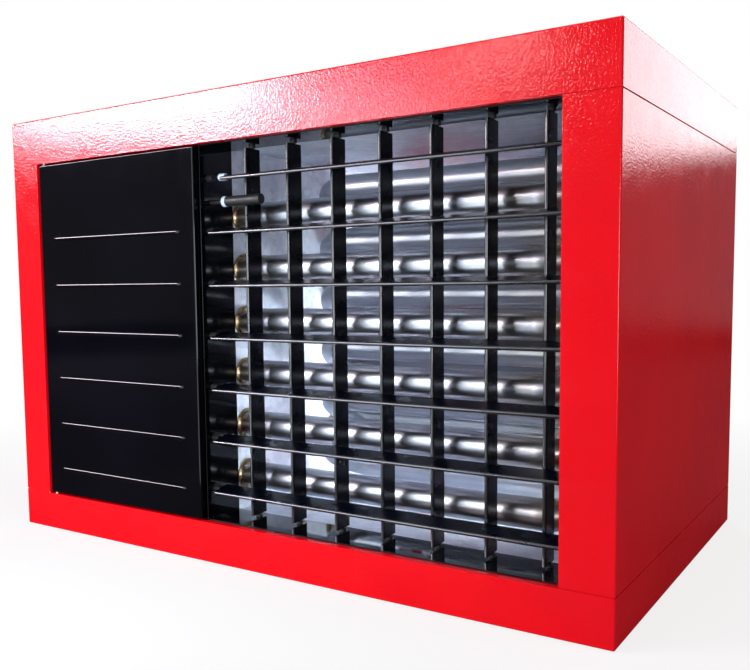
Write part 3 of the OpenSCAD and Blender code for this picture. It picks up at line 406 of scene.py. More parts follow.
@dataclass(frozen=True)
class Moulding:
    """A moulded plastic or glazed ceramic with a fine texture and slight wear."""

    name: str
    colour: Colour
    worn: Colour
    roughness: tuple[float, float] = (0.35, 0.55)
    grain_depth: float = 0.00002

    def make(self) -> bpy.types.Material:
        """Returns the material."""
        recipe = Recipe(self.name)
        recipe.put(IOR=1.5)
        wear = recipe.cloud(35.0, 4.0, 0.5, 0.8, 0.0, 0.5)
        recipe.colour(recipe.blend(wear, self.colour, self.worn))
        recipe.roughness(recipe.cloud(80.0, 2.0, 0.3, 0.7, *self.roughness))
        recipe.relief([(recipe.noise(1500.0, 1.0), self.grain_depth)])
        return recipe.material


class Finish(Enum):
    """The heater's finishes, named as the record's material slots."""

    RED_COAT = PowderCoat(
        "red powder coat", (0.74, 0.004, 0.008), (0.66, 0.003, 0.009), gloss=(0.10, 0.17),
        peel_scale=300.0, peel_depth=0.0003,
    )
    BLACK_GLOSS = PowderCoat(
        "black powder coat", (0.0012, 0.0012, 0.002), (0.002, 0.0018, 0.0035),
        gloss=(0.03, 0.07), peel_scale=420.0, peel_depth=0.00002, specular=0.4, dust=0.12,
    )
    # Painted reflection: the row louvres are the black powder coat, and the navy tint in their colour and
    # drift is painted dark blue reflection.
    LOUVRE_ROW = PowderCoat(
        "row louvre powder coat with painted blue reflection", (0.0010, 0.0016, 0.0045), (0.0018, 0.003, 0.007), gloss=(0.24, 0.34),
        peel_scale=500.0, peel_depth=0.00001, specular=0.1, nose=-0.3594,
    )
    LOUVRE_COLUMN = PowderCoat(
        "column louvre powder coat", (0.0010, 0.0012, 0.0025), (0.002, 0.002, 0.004), gloss=(0.24, 0.34),
        peel_scale=500.0, peel_depth=0.00001, specular=0.12, nose=-0.3248,
    )
    GALVANISED = CoatedSheet(
        "galvanised sheet", (0.88, 0.92, 1.0), (0.70, 0.75, 0.86), metallic=0.45, roughness=(0.3, 0.45)
    )
    TUBE_STEEL = DrawnTube()
    COLLAR_STEEL = PlainMetal(
        "heat tinted steel", (0.70, 0.52, 0.28), (0.30, 0.22, 0.16), (0.2, 0.4), tarnish_scale=60.0
    )
    ZINC_PLATE = PlainMetal("zinc plate", (0.66, 0.68, 0.72), (0.60, 0.56, 0.44), (0.22, 0.38))
    FAN_GREY = PlainMetal(
        "dark fan paint", (0.035, 0.036, 0.042), (0.07, 0.068, 0.066), (0.35, 0.55), metallic=0.0,
        grain_scale=500.0,
    )
    ALUMINISED = CoatedSheet(
        "aluminised sheet", (0.74, 0.75, 0.77), (0.58, 0.59, 0.62), spangle=260.0, roughness=(0.34, 0.5)
    )
    # Painted reflection: the nylon is pale, and the light blue in its colour and worn colour is painted sky
    # reflection.
    NYLON = Moulding("nylon", (0.34, 0.52, 0.66), (0.24, 0.36, 0.46))
    BRASS = PlainMetal("brass", (0.80, 0.56, 0.22), (0.52, 0.34, 0.14), (0.18, 0.34))
    BLACK_IRON = PlainMetal(
        "black iron", (0.045, 0.043, 0.042), (0.11, 0.07, 0.05), (0.42, 0.62), metallic=0.3,
        grain_scale=260.0, grain_depth=0.00012,
    )
    CAST_ALLOY = PlainMetal(
        "cast alloy", (0.62, 0.63, 0.65), (0.44, 0.45, 0.47), (0.38, 0.55), grain_scale=650.0,
        grain_depth=0.00008,
    )
    BLACK_PLASTIC = Moulding("black plastic", (0.012, 0.012, 0.013), (0.035, 0.034, 0.033))
    GREY_PLASTIC = Moulding("light grey plastic", (0.62, 0.63, 0.62), (0.48, 0.48, 0.46))
    RED_PLASTIC = Moulding("red plastic", (0.62, 0.014, 0.014), (0.42, 0.01, 0.01), (0.2, 0.34))
    CERAMIC = Moulding("glazed ceramic", (0.82, 0.80, 0.74), (0.60, 0.56, 0.48), (0.12, 0.24))

    @property
    def slot(self) -> str:
        """The record's material slot."""
        shared = Finish.BLACK_GLOSS if self in (Finish.LOUVRE_ROW, Finish.LOUVRE_COLUMN) else self
        return shared.name.lower()

    @property
    def material(self) -> bpy.types.Material:
        """The finish's material, made on its first use."""
        made = bpy.data.materials.get(self.value.name)
        return made or self.value.make()


# Shapes


@dataclass
class Form:
    """A new piece's shape, gathered from bmesh operators in heater millimetres."""

    name: str
    shape: bmesh.types.BMesh = field(default_factory=bmesh.new)

    def placed(self, axis: Axis, start: Sequence[float]) -> Matrix:
        """The turn and shift that take local Z to an axis and the origin to a point."""
        turn = axis.value.to_track_quat("Z", "Y").to_matrix().to_4x4()
        return Matrix.Translation(Vector(start)) @ turn

    def block(self, low: Sequence[float], high: Sequence[float]) -> list[bmesh.types.BMVert]:
        """A box between two corners.

        Args:
            low: The lowest corner.
            high: The highest corner.

        Returns:
            Its corners.
        """
        size = Vector(high) - Vector(low)
        middle = (Vector(high) + Vector(low)) / 2
        matrix = Matrix.Translation(middle) @ Matrix.Diagonal((*size, 1.0))
        return bmesh.ops.create_cube(self.shape, size=1.0, matrix=matrix)["verts"]

    def rod(
        self, axis: Axis, start: Sequence[float], length: float, radius: float, end: float | None = None,
        sides: int = 32,
    ) -> list[bmesh.types.BMVert]:
        """A rod or a cone along an axis.

        Args:
            axis: Direction of the rod.
            start: Centre of its first end.
            length: Length of the rod.
            radius: Radius of the first end.
            end: Radius of the other end, if it differs.
            sides: Number of sides.

        Returns:
            Its vertices.
        """
        middle = self.placed(axis, Vector(start) + axis.value * (length / 2))
        last = radius if end is None else end
        made = bmesh.ops.create_cone(
            self.shape, cap_ends=True, segments=sides, radius1=radius, radius2=last, depth=length,
            matrix=middle,
        )
        return made["verts"]

    def turned(
        self, axis: Axis, start: Sequence[float], profile: Profile, steps: int = 48, closed: bool = True
    ) -> None:
        """A lathe turned form about an axis.

        Args:
            axis: Axis of the lathe.
            start: Origin of the profile.
            profile: Pairs of radius and place along the axis.
            steps: Number of steps round.
            closed: Whether the profile is a loop of its own, as on a hollow ring.
        """
        place = self.placed(axis, start)
        points = [self.shape.verts.new(place @ Vector((r, 0.0, along))) for r, along in profile]
        edges = [self.shape.edges.new(pair) for pair in zip(points, points[1:])]
        if closed:
            edges.append(self.shape.edges.new((points[-1], points[0])))
        bmesh.ops.spin(
            self.shape, geom=points + edges, cent=Vector(start), axis=axis.value,
            angle=math.tau, steps=steps, use_merge=True, use_duplicate=False,
        )

    def hoop(self, axis: Axis, centre: Sequence[float], radius: float, wire: float, steps: int = 72) -> None:
        """A round wire bent into a hoop, with ten sides to the wire.

        Args:
            axis: Axis of the hoop.
            centre: Centre of the hoop.
            radius: Radius to the middle of the wire.
            wire: Radius of the wire.
            steps: Number of steps round.
        """
        ring = [(radius + wire * math.cos(a), wire * math.sin(a)) for a in turns(10)]
        self.turned(axis, centre, ring, steps)

    def path(self, points: Sequence[Sequence[float]], radius: float, sides: int = 10) -> None:
        """A round bar that follows straight stretches with mitred corners.

        Args:
            points: Corners of the path.
            radius: Radius of the bar.
            sides: Number of sides.
        """
        corners = [Vector(p) for p in points]
        legs = [(end - start).normalized() for start, end in zip(corners, corners[1:])]
        place = Matrix.Translation(corners[0]) @ legs[0].to_track_quat("Z", "Y").to_matrix().to_4x4()
        ring = bmesh.ops.create_circle(
            self.shape, cap_ends=True, segments=sides, radius=radius, matrix=place
        )["verts"]
        face = ring[0].link_faces[0]
        for corner, leg, following in zip(corners[1:], legs, legs[1:] + legs[-1:]):
            flat = (leg + following).normalized()
            face = bmesh.ops.extrude_discrete_faces(self.shape, faces=[face])["faces"][0]
            for vert in face.verts:
                vert.co += leg * ((corner - vert.co).dot(flat) / leg.dot(flat))

    def round_off(self, edges: Ring, radius: float, segments: int) -> None:
        """Rounds some edges.

        Args:
            edges: The edges.
            radius: Radius of the rounding in millimetres.
            segments: Steps of the rounding.
        """
        bmesh.ops.bevel(
            self.shape, geom=edges, offset=radius, offset_type="OFFSET", segments=segments, profile=0.5,
            affect="EDGES", clamp_overlap=True, material=-1,
        )

    def soft_corners(self, radius: float, shortest: float, steepest: float = 40.0) -> None:
        """Rounds the sharp edges.

        Args:
            radius: Radius of the rounding in millimetres.
            shortest: Edges shorter than this stay sharp.
            steepest: Edges that turn by more than this many degrees are rounded.
        """
        limit = math.radians(steepest)
        edges = [
            e for e in self.shape.edges
            if len(e.link_faces) == 2 and e.calc_face_angle(0.0) > limit and e.calc_length() > shortest
        ]
        self.round_off(edges, radius, 2)

    def mark_creases(self, smooth: float) -> None:
        """Keeps the edges crisp that turn by more than an angle in degrees."""
        self.shape.normal_update()
        for edge in self.shape.edges:
            edge.smooth = len(edge.link_faces) == 2 and edge.calc_face_angle(0.0) <= math.radians(smooth)

    def finish(
        self, finish: Finish, body: Body | str, stands_for: Sequence[str] = (), smooth: float = 40.0,
        outward: bool = True,
    ) -> bpy.types.Object:
        """Moves the shape into the row frame and makes the finished piece.

        Args:
            finish: The piece's finish.
            body: The body that it rides on.
            stands_for: CAD nodes that it replaces.
            smooth: Edges that turn by more than this many degrees stay crisp.
            outward: Whether the faces are turned outwards first.

        Returns:
            The finished object.
        """
        if outward:
            bmesh.ops.remove_doubles(self.shape, verts=self.shape.verts, dist=0.001)
            bmesh.ops.recalc_face_normals(self.shape, faces=self.shape.faces)
        else:
            self.mark_creases(smooth)
        bmesh.ops.transform(self.shape, matrix=TO_ROW, verts=self.shape.verts)
        mesh = bpy.data.meshes.new(self.name)
        for face in self.shape.faces:
            face.smooth = True
        self.shape.to_mesh(mesh)
        self.shape.free()
        if outward:
            mesh.set_sharp_from_angle(angle=math.radians(smooth))
        return mounted(self.name, mesh, finish, body, stands_for)


def mounted(
    name: str, mesh: bpy.types.Mesh, finish: Finish, body: Body | str, stands_for: Sequence[str]
) -> bpy.types.Object:
    """Puts a mesh into the scene as a finished piece.

    Args:
        name: Name of the piece.
        mesh: Its mesh, in the row frame.
        finish: Its finish.
        body: The body that it rides on.
        stands_for: CAD nodes that it replaces.

    Returns:
        The piece.
    """
    mesh.materials.clear()
    mesh.materials.append(finish.material)
    piece = in_scene(name, mesh)
    weighted = piece.modifiers.new("even shading", "WEIGHTED_NORMAL")
    weighted.keep_sharp = True
    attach(piece, body.value if isinstance(body, Body) else body)
    if stands_for:
        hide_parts(*stands_for)
    log.info("%s: %d faces", name, len(mesh.polygons))
    return piece


def add_wall(piece: bpy.types.Object, thickness: float, offset: float) -> None:
    """Gives an open surface a wall, worked out before its shading.

    Args:
        piece: The finished piece.
        thickness: Thickness of the wall in millimetres.
        offset: -1 for a wall behind the surface, 0 for one to either side of it.
    """
    wall = piece.modifiers.new("wall", "SOLIDIFY")
    wall.thickness = thickness * MM
    wall.offset = offset
    piece.modifiers.move(1, 0)


def turns(count: int) -> list[float]:
    """Evenly spaced angles round a circle."""
    return [math.tau * i / count for i in range(count)]


def node_form(node: str, name: str | None = None) -> Form:
    """A copy of a CAD node's own shape, merged and in heater millimetres.

    Args:
        node: The CAD node.
        name: Name of the new piece, if it differs.

    Returns:
        The form.
    """
    form = Form(name or f"{node}_dressed")
    form.shape.from_mesh(frame["nodes"][node].data)
    bmesh.ops.transform(form.shape, matrix=TO_HEATER, verts=form.shape.verts)
    bmesh.ops.remove_doubles(form.shape, verts=form.shape.verts, dist=0.002)
    bmesh.ops.dissolve_limit(
        form.shape, angle_limit=math.radians(0.4), verts=form.shape.verts, edges=form.shape.edges
    )
    return form


def dress(
    node: str, finish: Finish, radius: float = 0.5, smooth: float = 35.0, shortest: float = 9.0
) -> None:
    """Replaces a CAD node by a copy of itself with softened edges.

    Args:
        node: The CAD node.
        finish: Its finish.
        radius: Radius of the rounding.
        smooth: Edges that turn by more than this many degrees stay crisp.
        shortest: Edges shorter than this stay sharp.
    """
    form = node_form(node)
    if radius:
        form.soft_corners(radius, shortest)
    form.finish(finish, body_of_node(node), [node], smooth, outward=False)


# Sub-assemblies


@dataclass
class Casing:
    """The red sheet casing: top cover, bottom tray, side panels, rear panel, rails and screws."""

    fold_radius: float = 2.4
    rim_radius: float = 0.55
    screw_count: int = 5
    screw_margin: float = 30.0
    screw_washer: Profile = ((0.0, 0.0), (5.0, 0.0), (5.0, 0.5), (4.4, 0.9), (0.0, 0.9))
    plain_sheets: Sequence[str] = ("left_side_panel", "right_side_panel")
    head_start: float = 0.7
    head_height: float = 2.6
    head_radii: tuple[float, float] = (4.1, 3.9)
    shank_length: float = 10.0
    shank_radius: float = 2.3

    def on_outside(self, edge: bmesh.types.BMEdge) -> bool:
        """Whether an edge lies where two outer sides of the casing meet."""
        planes = 0
        for axis, (low, high) in enumerate(((0.0, CASING_W), (0.0, CASING_D), (0.0, CASING_H))):
            places = [v.co[axis] for v in edge.verts]
            planes += any(all(abs(p - side) < SNAP for p in places) for side in (low, high))
        return planes >= 2

    def fold(self, node: str) -> None:
        """Dresses one red sheet with a fold radius outside, and on the side panels finer edges elsewhere."""
        form = node_form(node)
        folds = [e for e in form.shape.edges if self.on_outside(e) and e.calc_length() > 20.0]
        form.round_off(folds, self.fold_radius, 4)
        if node in self.plain_sheets:
            form.soft_corners(self.rim_radius, 14.0, 50.0)
        form.finish(Finish.RED_COAT, Body.CASING, [node], 35.0, outward=False)

    def screws(self) -> None:
        """Builds the hexagon headed rear screws with their flanges."""
        form = Form("casing_screw_heads")
        width = CASING_W - 2 * self.screw_margin
        for z in (BOTTOM_BAND / 2, CASING_H - TOP_BAND / 2):
            for index in range(self.screw_count):
                x = self.screw_margin + width * (index + 0.5) / self.screw_count
                form.turned(Axis.Y, (x, CASING_D, z), self.screw_washer, 24, closed=False)
                head = (x, CASING_D + self.head_start, z)
                form.rod(Axis.Y, head, self.head_height, *self.head_radii, 6)
                shank = (x, CASING_D - self.shank_length, z)
                form.rod(Axis.Y, shank, self.shank_length, self.shank_radius, sides=16)
        form.finish(Finish.ZINC_PLATE, Body.CASING, ["casing_screws"], 30.0)

    def build(self) -> None:
        """Builds the casing."""
        for node in ("top_cover", "bottom_tray", "left_side_panel", "right_side_panel"):
            self.fold(node)
        dress("rear_panel", Finish.RED_COAT, 0.4, shortest=30.0)
        dress("suspension_rails", Finish.GALVANISED, 0.6)
        dress("door_hinge_pins", Finish.ZINC_PLATE, 0.0)
        dress("door_catches", Finish.BLACK_PLASTIC, 0.8)
        self.screws()


@dataclass
class AccessDoor:
    """The gloss black access door: a folded pan with six pressed ribs."""

    left: float = 68.0
    right: float = 439.7
    low: float = 67.0
    high: float = 660.0
    face: float = 2.5
    depth: float = 22.0
    sheet: float = 1.5
    strike: float = 20.0
    fold_radius: float = 2.6
    rib_first: float = 113.3
    rib_pitch: float = 83.0
    rib_count: int = 6
    rib_margin: float = 32.0
    rib_half_width: float = 4.4
    rib_height: float = 2.45
    rib_seat: float = 0.6
    strike_gap: float = 0.2
    strike_inset: float = 1.0

    def pan(self, form: Form) -> None:
        """Adds the folded pan, open at the back."""
        back = self.face + self.depth
        corners = form.block((self.left, self.face, self.low), (self.right, back, self.high))
        rear = [f for f in form.shape.faces if all(abs(v.co.y - back) < SNAP for v in f.verts)]
        bmesh.ops.delete(form.shape, geom=rear, context="FACES_ONLY")
        front = {e for v in corners for e in v.link_edges if e.is_valid and len(e.link_faces) == 2}
        form.round_off(list(front), self.fold_radius, 4)

    def ribs(self, form: Form) -> None:
        """Adds the pressed ribs, each with rounded ends."""
        half = (self.right - self.left) / 2 - self.rib_margin - self.rib_half_width * 2
        middle = (self.left + self.right) / 2
        for index in range(self.rib_count):
            z = self.rib_first + index * self.rib_pitch
            width, depth = self.rib_half_width, self.rib_height + self.rib_seat
            shape = Matrix.Diagonal((width * 2, depth, width, 1.0))
            turn = Matrix.Rotation(math.pi / 2, 4, "Y")
            made = bmesh.ops.create_uvsphere(
                form.shape, u_segments=28, v_segments=16, radius=1.0, matrix=shape @ turn
            )["verts"]
            for vert in made:
                vert.co.x += half if vert.co.x > 0.001 else -half
                vert.co += Vector((middle, self.face + self.rib_seat, z))

    def build(self) -> None:
        """Builds the door."""
        form = Form("door_pan")
        self.pan(form)
        form.shape.normal_update()
        pan = form.finish(Finish.BLACK_GLOSS, Body.DOOR, ["access_door"], 35.0)
        add_wall(pan, self.sheet, -1.0)
        detail = Form("door_ribs")
        self.ribs(detail)
        back = self.face + self.depth
        detail.block(
            (self.right - self.strike, back - self.sheet, self.low + self.strike_inset),
            (self.right - self.strike_gap, back, self.high - self.strike_inset),
        )
        detail.finish(Finish.BLACK_GLOSS, Body.DOOR, (), 40.0)


@dataclass
class Louvres:
    """The gloss black louvre frame with its seven horizontal and seven vertical louvres."""

    count: int = 7
    edge_radius: float = 0.5
    bush_radius: float = 5.5
    spigot_radius: float = 4.0
    bush_length: float = 12.0
    column_bush_length: float = 4.0
    pin_radius: float = 2.56
    sheet: float = 1.2
    left: float = 442.0
    right: float = 1043.0
    low: float = 65.3
    high: float = 661.7
    row_y: float = 32.65
    column_y: float = 70.0
    first: float = 48.0
    pitch: float = 83.0
    column_first: float = 62.0
    column_pitch: float = 81.3
    setback: float = 26.0
    spacer: float = 13.0
    spacer_gap: float = 0.2
    spacer_chamfer: float = 0.6
    mouth_share: float = 0.94
    mouth_step: float = 0.7

    def bush(self, form: Form, axis: Axis, start: Point, reach: float) -> None:
        """Adds one bush that reaches from a wall of the frame into the airway."""
        behind, outer = -math.copysign(self.sheet, reach), self.bush_radius
        form.turned(axis, start, [
            (self.pin_radius, behind), (self.spigot_radius, behind), (self.spigot_radius, 0.0), (outer, 0.0),
            (outer, reach * self.mouth_share), (outer - self.mouth_step, reach), (self.pin_radius, reach),
        ], 24)

    def bushes(self) -> None:
        """Builds the bushes that carry the louvres' pins."""
        form = Form("louvre_bush_set")
        for index in range(self.count):
            z = self.low + self.first + index * self.pitch
            self.bush(form, Axis.X, (self.left + self.sheet, self.row_y, z), self.bush_length)
            self.bush(form, Axis.X, (self.right - self.sheet, self.row_y, z), -self.bush_length)
            x = self.left + self.column_first + index * self.column_pitch
            self.bush(form, Axis.Z, (x, self.column_y, self.low + self.sheet), self.column_bush_length)
            self.bush(form, Axis.Z, (x, self.column_y, self.high - self.sheet), -self.column_bush_length)
        form.finish(Finish.BLACK_PLASTIC, Body.CASING, ["louvre_bushes"], 35.0)

    def loose_spacer(self) -> None:
        """Builds the pale spacer on the top louvre's left pin."""
        form = Form("louvre_spacer")
        top = self.low + self.first + (self.count - 1) * self.pitch
        start = self.left + self.sheet + self.bush_length + self.setback - self.spacer + self.spacer_gap
        inner, outer, soft = self.pin_radius, self.bush_radius, self.spacer_chamfer
        form.turned(Axis.X, (start, self.row_y, top), [
            (inner, 0.0), (outer - soft, 0.0), (outer, soft), (outer, self.spacer - soft),
            (outer - soft, self.spacer), (inner, self.spacer),
        ], 28)
        form.finish(Finish.NYLON, Body.CASING, (), 35.0)

    def build(self) -> None:
        """Builds the louvre frame, the louvres and their bushes."""
        dress("louvre_frame", Finish.BLACK_GLOSS, self.edge_radius, shortest=20.0)
        for row, finish in (("horizontal", Finish.LOUVRE_ROW), ("vertical", Finish.LOUVRE_COLUMN)):
            for index in range(1, self.count + 1):
                dress(f"{row}_louvre_{index}", finish, 0.3, 30.0, 20.0)
        self.bushes()
        self.loose_spacer()


@dataclass
class HeatExchanger:
    """Six serpentine tubes, their collars, the division panel, the shield and the baffles."""

    tube_radius: float = 22.0
    wall: float = 1.5
    pitch: float = 86.6
    leg_pitch: float = 86.6
    first: float = 122.0
    first_y: float = 118.0
    start: float = 430.0
    panel: float = 442.0
    crown: float = 1036.4
    inner_bend: float = 592.0
    sides: int = 36
    bend_steps: int = 20
    groove: float = 0.7
    swell: float = 0.35
    end_depth: float = 30.0
    count: int = 6
    near_panel: float = 12.0
    groove_starts: tuple[float, float] = (34.0, 52.0)
    groove_steps: Profile = ((0.0, 0.0), (2.5, 1.0), (5.0, 1.0), (7.5, 0.0))
    past_grooves: float = 200.0
    swell_length: float = 9.0
    swell_rise: float = 1.5
    collar_gap: float = 0.3
    collar: Profile = (
        (22.1, 0.0), (26.0, 0.0), (26.0, 1.8), (25.2, 3.4), (24.0, 5.2), (23.0, 6.0), (22.1, 6.0)
    )

    @property
    def bend_radius(self) -> float:
        """Radius of the bends to the middle of the tube."""
        return math.hypot(self.leg_pitch, self.pitch / 2) / 2

    @property
    def outer_bend(self) -> float:
        """Where the outer bends begin."""
        return self.crown - self.tube_radius - self.bend_radius

    def stretch(self, form: Form, ring: Ring, stations: Sequence[tuple[float, float]]) -> Ring:
        """Carries an open ring of edges along X through stations of place and radius.

        Args:
            form: The tube's form.
            ring: The open end of the tube.
            stations: Pairs of a place along X and a radius there.

        Returns:
            The new open end.
        """
        for x, radius in stations:
            grown = bmesh.ops.extrude_edge_only(form.shape, edges=ring)["geom"]
            verts = [g for g in grown if isinstance(g, bmesh.types.BMVert)]
            edges = [g for g in grown if isinstance(g, bmesh.types.BMEdge)]
            ring = [e for e in edges if all(v in verts for v in e.verts)]
            centre = sum((v.co for v in verts), Vector()) / len(verts)
            for vert in verts:
                out = (vert.co - centre).normalized() * radius
                vert.co = Vector((x, centre.y + out.y, centre.z + out.z))
        return ring

    def bend(self, form: Form, ring: Ring, centre: Vector, over: Vector, sense: float) -> Ring:
        """Spins an open ring of edges through half a turn.

        Args:
            form: The tube's form.
            ring: The open end of the tube.
            centre: Centre of the bend.
            over: Direction from the leg that ends to the leg that starts.
            sense: 1 where the bend bulges to the right, -1 where it bulges to the left.

        Returns:
            The new open end.
        """
        axis = Vector((sense, 0, 0)).cross(over).normalized()
        verts = list({v for e in ring for v in e.verts})
        made = bmesh.ops.spin(
            form.shape, geom=verts + ring, cent=centre, axis=axis, angle=math.pi, steps=self.bend_steps,
            use_merge=False, use_duplicate=False,
        )["geom_last"]
        return [g for g in made if isinstance(g, bmesh.types.BMEdge)]

    def end(self, form: Form, ring: Ring) -> None:
        """Turns an open end in over the tube's wall and closes it deep inside."""
        x = ring[0].verts[0].co.x
        inner = self.tube_radius - self.wall
        last = self.stretch(form, ring, [(x, inner), (x + self.end_depth, inner)])
        bmesh.ops.contextual_create(form.shape, geom=last)

    def tube(self, index: int) -> None:
        """Builds one tube from its first leg at the front to its fourth at the rear."""
        form = Form(f"exchanger_tube_{index + 1}")
        low = self.first + index * self.pitch
        r = self.tube_radius
        y = [self.first_y + i * self.leg_pitch for i in range(4)]
        place = form.placed(Axis.X, (self.start, y[0], low))
        made = bmesh.ops.create_circle(
            form.shape, cap_ends=False, segments=self.sides, radius=r, matrix=place
        )["verts"]
        first_ring = list({e for v in made for e in v.link_edges})
        grooves = [
            (self.panel + start + along, r - self.groove * share)
            for start in self.groove_starts for along, share in self.groove_steps
        ]
        bend, swollen = self.outer_bend, r + self.swell
        swell_start = bend - self.swell_length
        into_bend = [(swell_start, r), (swell_start + self.swell_rise, swollen), (bend, swollen)]
        out_of_bend = [(swell_start, swollen), (swell_start - self.swell_rise, r)]
        rise = Vector((0, self.leg_pitch, self.pitch / 2))
        fall = Vector((0, self.leg_pitch, -self.pitch / 2))
        right = [Vector((bend, (y[i] + y[i + 1]) / 2, low + self.pitch / 4)) for i in (0, 2)]
        left = Vector((self.inner_bend, (y[1] + y[2]) / 2, low + self.pitch / 4))
        ring = self.stretch(form, first_ring, [
            (self.panel + self.near_panel, r), *grooves, (self.panel + self.past_grooves, r), *into_bend
        ])
        ring = self.bend(form, ring, right[0], rise, 1.0)
        ring = self.stretch(form, ring, [*out_of_bend, (self.inner_bend, r)])
        ring = self.bend(form, ring, left, fall, -1.0)
        ring = self.stretch(form, ring, into_bend)
        ring = self.bend(form, ring, right[1], rise, 1.0)
        ring = self.stretch(form, ring, [*out_of_bend, (self.start, r)])
        self.end(form, ring)
        self.end(form, first_ring)
        form.finish(Finish.TUBE_STEEL, Body.CASING, [f"heat_tube_{index + 1}"], 50.0)

    def collars(self) -> None:
        """Builds the brazed collars where the tubes meet the division panel."""
        form = Form("tube_collar_set")
        for index in range(self.count):
            z = self.first + index * self.pitch
            for y, rise in ((self.first_y, 0.0), (self.first_y + 3 * self.leg_pitch, self.pitch / 2)):
                form.turned(Axis.X, (self.panel + self.collar_gap, y, z + rise), self.collar, 40)
        form.finish(Finish.COLLAR_STEEL, Body.CASING, ["tube_collars"], 50.0)

    def build(self) -> None:
        """Builds the exchanger and the sheets round it."""
        for index in range(self.count):
            self.tube(index)
        self.collars()
        for node in ("division_panel", "right_heat_shield", "airway_baffles", "tube_rest_bar"):
            dress(node, Finish.GALVANISED, 0.5, shortest=20.0)


@dataclass
class MainFan:
    """The axial fan at the rear: ring, impeller, motor and wire guard."""

    x: float = 742.5
    z: float = 362.75
    tip: float = 224.6
    hub: float = 70.0
    front: float = 629.7
    depth: float = 66.0
    blades: int = 6
    root_chord: float = 118.0
    tip_chord: float = 150.0
    root_pitch: float = 27.0
    tip_pitch: float = 20.0
    blade_sheet: float = 2.4
    camber: float = 7.0
    blade_set_back: float = 3.0
    tip_cut_start: float = 0.85
    tip_cut: float = 0.16
    sweep: float = 0.16
    hub_wall: float = 4.0
    hub_screw_circle: float = 30.0
    guard_plane: float = 741.0
    guard_foot: float = 694.0
    guard_radius: float = 244.0
    flat_radius: float = 195.2
    plate_radius: float = 60.2
    wire: float = 2.0
    rings: int = 6
    spokes: int = 12
    plate_screw_circle: float = 42.0

    def spot(self, radius: float, angle: float, y: float) -> Point:
        """The point at a radius and an angle about the fan's axis."""
        return (self.x + radius * math.cos(angle), y, self.z + radius * math.sin(angle))

    def hub_form(self) -> None:
        """Builds the hub, a cup that turns round the stator."""
        form = Form("fan_hub")
        r, d, bore = self.hub, self.depth, self.hub - self.hub_wall
        form.turned(Axis.Y, (self.x, self.front, self.z), [
            (0.0, 0.0), (r * 0.55, 0.0), (r * 0.6, 1.4), (r - 7.0, 1.4), (r - 3.0, 2.6), (r - 0.6, 6.0),
            (r, 10.0), (r, d - 1.5), (r - 1.0, d), (bore, d), (bore, 5.0), (6.0, 5.0), (6.0, d - 12.0),
            (0.0, d - 12.0),
        ], 64, closed=False)
        for angle in turns(6):
            form.rod(Axis.Y, self.spot(self.hub_screw_circle, angle, self.front + 0.2), 3.0, 4.0, sides=6)
        form.finish(Finish.FAN_GREY, Body.MAIN_FAN, ["fan_impeller"], 35.0)

    def blade_point(self, out: float, across: float) -> Vector:
        """Where a point of the blade's middle surface lies.

        Args:
            out: Share of the way from the hub to the tip.
            across: Share of the chord, from -0.5 at one edge to 0.5 at the other.

        Returns:
            The point, with the fan's centre as origin.
        """
        root = self.hub - 1.0
        radius = root + (self.tip - root) * out
        chord = self.root_chord + (self.tip_chord - self.root_chord) * out
        chord *= 1.0 - self.tip_cut * max(0.0, out - self.tip_cut_start) / (1.0 - self.tip_cut_start)
        pitch = math.radians(self.root_pitch + (self.tip_pitch - self.root_pitch) * out)
        camber = self.camber * (1.0 - 4.0 * across * across)
        sideways = across * chord * math.cos(pitch) - camber * math.sin(pitch)
        forward = across * chord * math.sin(pitch) + camber * math.cos(pitch) - self.blade_set_back
        angle = sideways / radius + self.sweep * out * out
        return Vector((radius * math.cos(angle), forward, radius * math.sin(angle)))

    def blade_set(self) -> None:
        """Builds the blades, each pitched, cambered and swept."""
        form = Form("fan_blades")
        middle = self.front + self.depth / 2
        for angle in turns(self.blades):
            grid = bmesh.ops.create_grid(form.shape, x_segments=12, y_segments=10, size=0.5)["verts"]
            turn = Matrix.Rotation(angle, 4, "Y")
            for vert in grid:
                local = self.blade_point(vert.co.x + 0.5, vert.co.y)
                vert.co = turn @ local + Vector((self.x, middle, self.z))
        form.shape.normal_update()
        add_wall(form.finish(Finish.FAN_GREY, Body.MAIN_FAN, (), 60.0), self.blade_sheet, 0.0)

    def guard(self) -> None:
        """Builds the guard from round wires, with a plate for the motor."""
        form = Form("wire_guard")
        gap = self.flat_radius - self.plate_radius
        for index in range(1, self.rings + 1):
            radius = self.plate_radius + gap * index / self.rings
            form.hoop(Axis.Y, (self.x, self.guard_plane + 0.9, self.z), radius, self.wire * 0.55)
        form.hoop(Axis.Y, (self.x, self.guard_foot, self.z), self.guard_radius - 0.3, self.wire * 0.95, 96)
        route = (
            (self.plate_radius - 4.0, self.guard_plane - 0.8), (self.flat_radius, self.guard_plane - 0.8),
            (self.guard_radius - 1.0, self.guard_foot + 0.4),
        )
        for angle in turns(self.spokes):
            form.path([self.spot(radius, angle, y) for radius, y in route], self.wire * 0.8)
        form.turned(Axis.Y, (self.x, self.guard_plane, self.z), [
            (0.0, -1.8), (self.plate_radius, -1.8), (self.plate_radius + 1.2, -0.6),
            (self.plate_radius + 0.4, 0.8), (self.plate_radius - 4.0, 1.6), (0.0, 1.6)
        ], 64, closed=False)
        for angle in turns(4):
            spot = self.spot(self.plate_screw_circle, angle + 0.785, self.guard_plane + 0.4)
            form.rod(Axis.Y, spot, 1.6, 4.5, sides=6)
        form.finish(Finish.ZINC_PLATE, Body.CASING, ["fan_guard"], 45.0)

    def build(self) -> None:
        """Builds the fan."""
        self.hub_form()
        self.blade_set()
        self.guard()
        dress("fan_ring", Finish.ALUMINISED, 0.0, 50.0)
        dress("fan_motor", Finish.FAN_GREY, 0.8, 40.0)


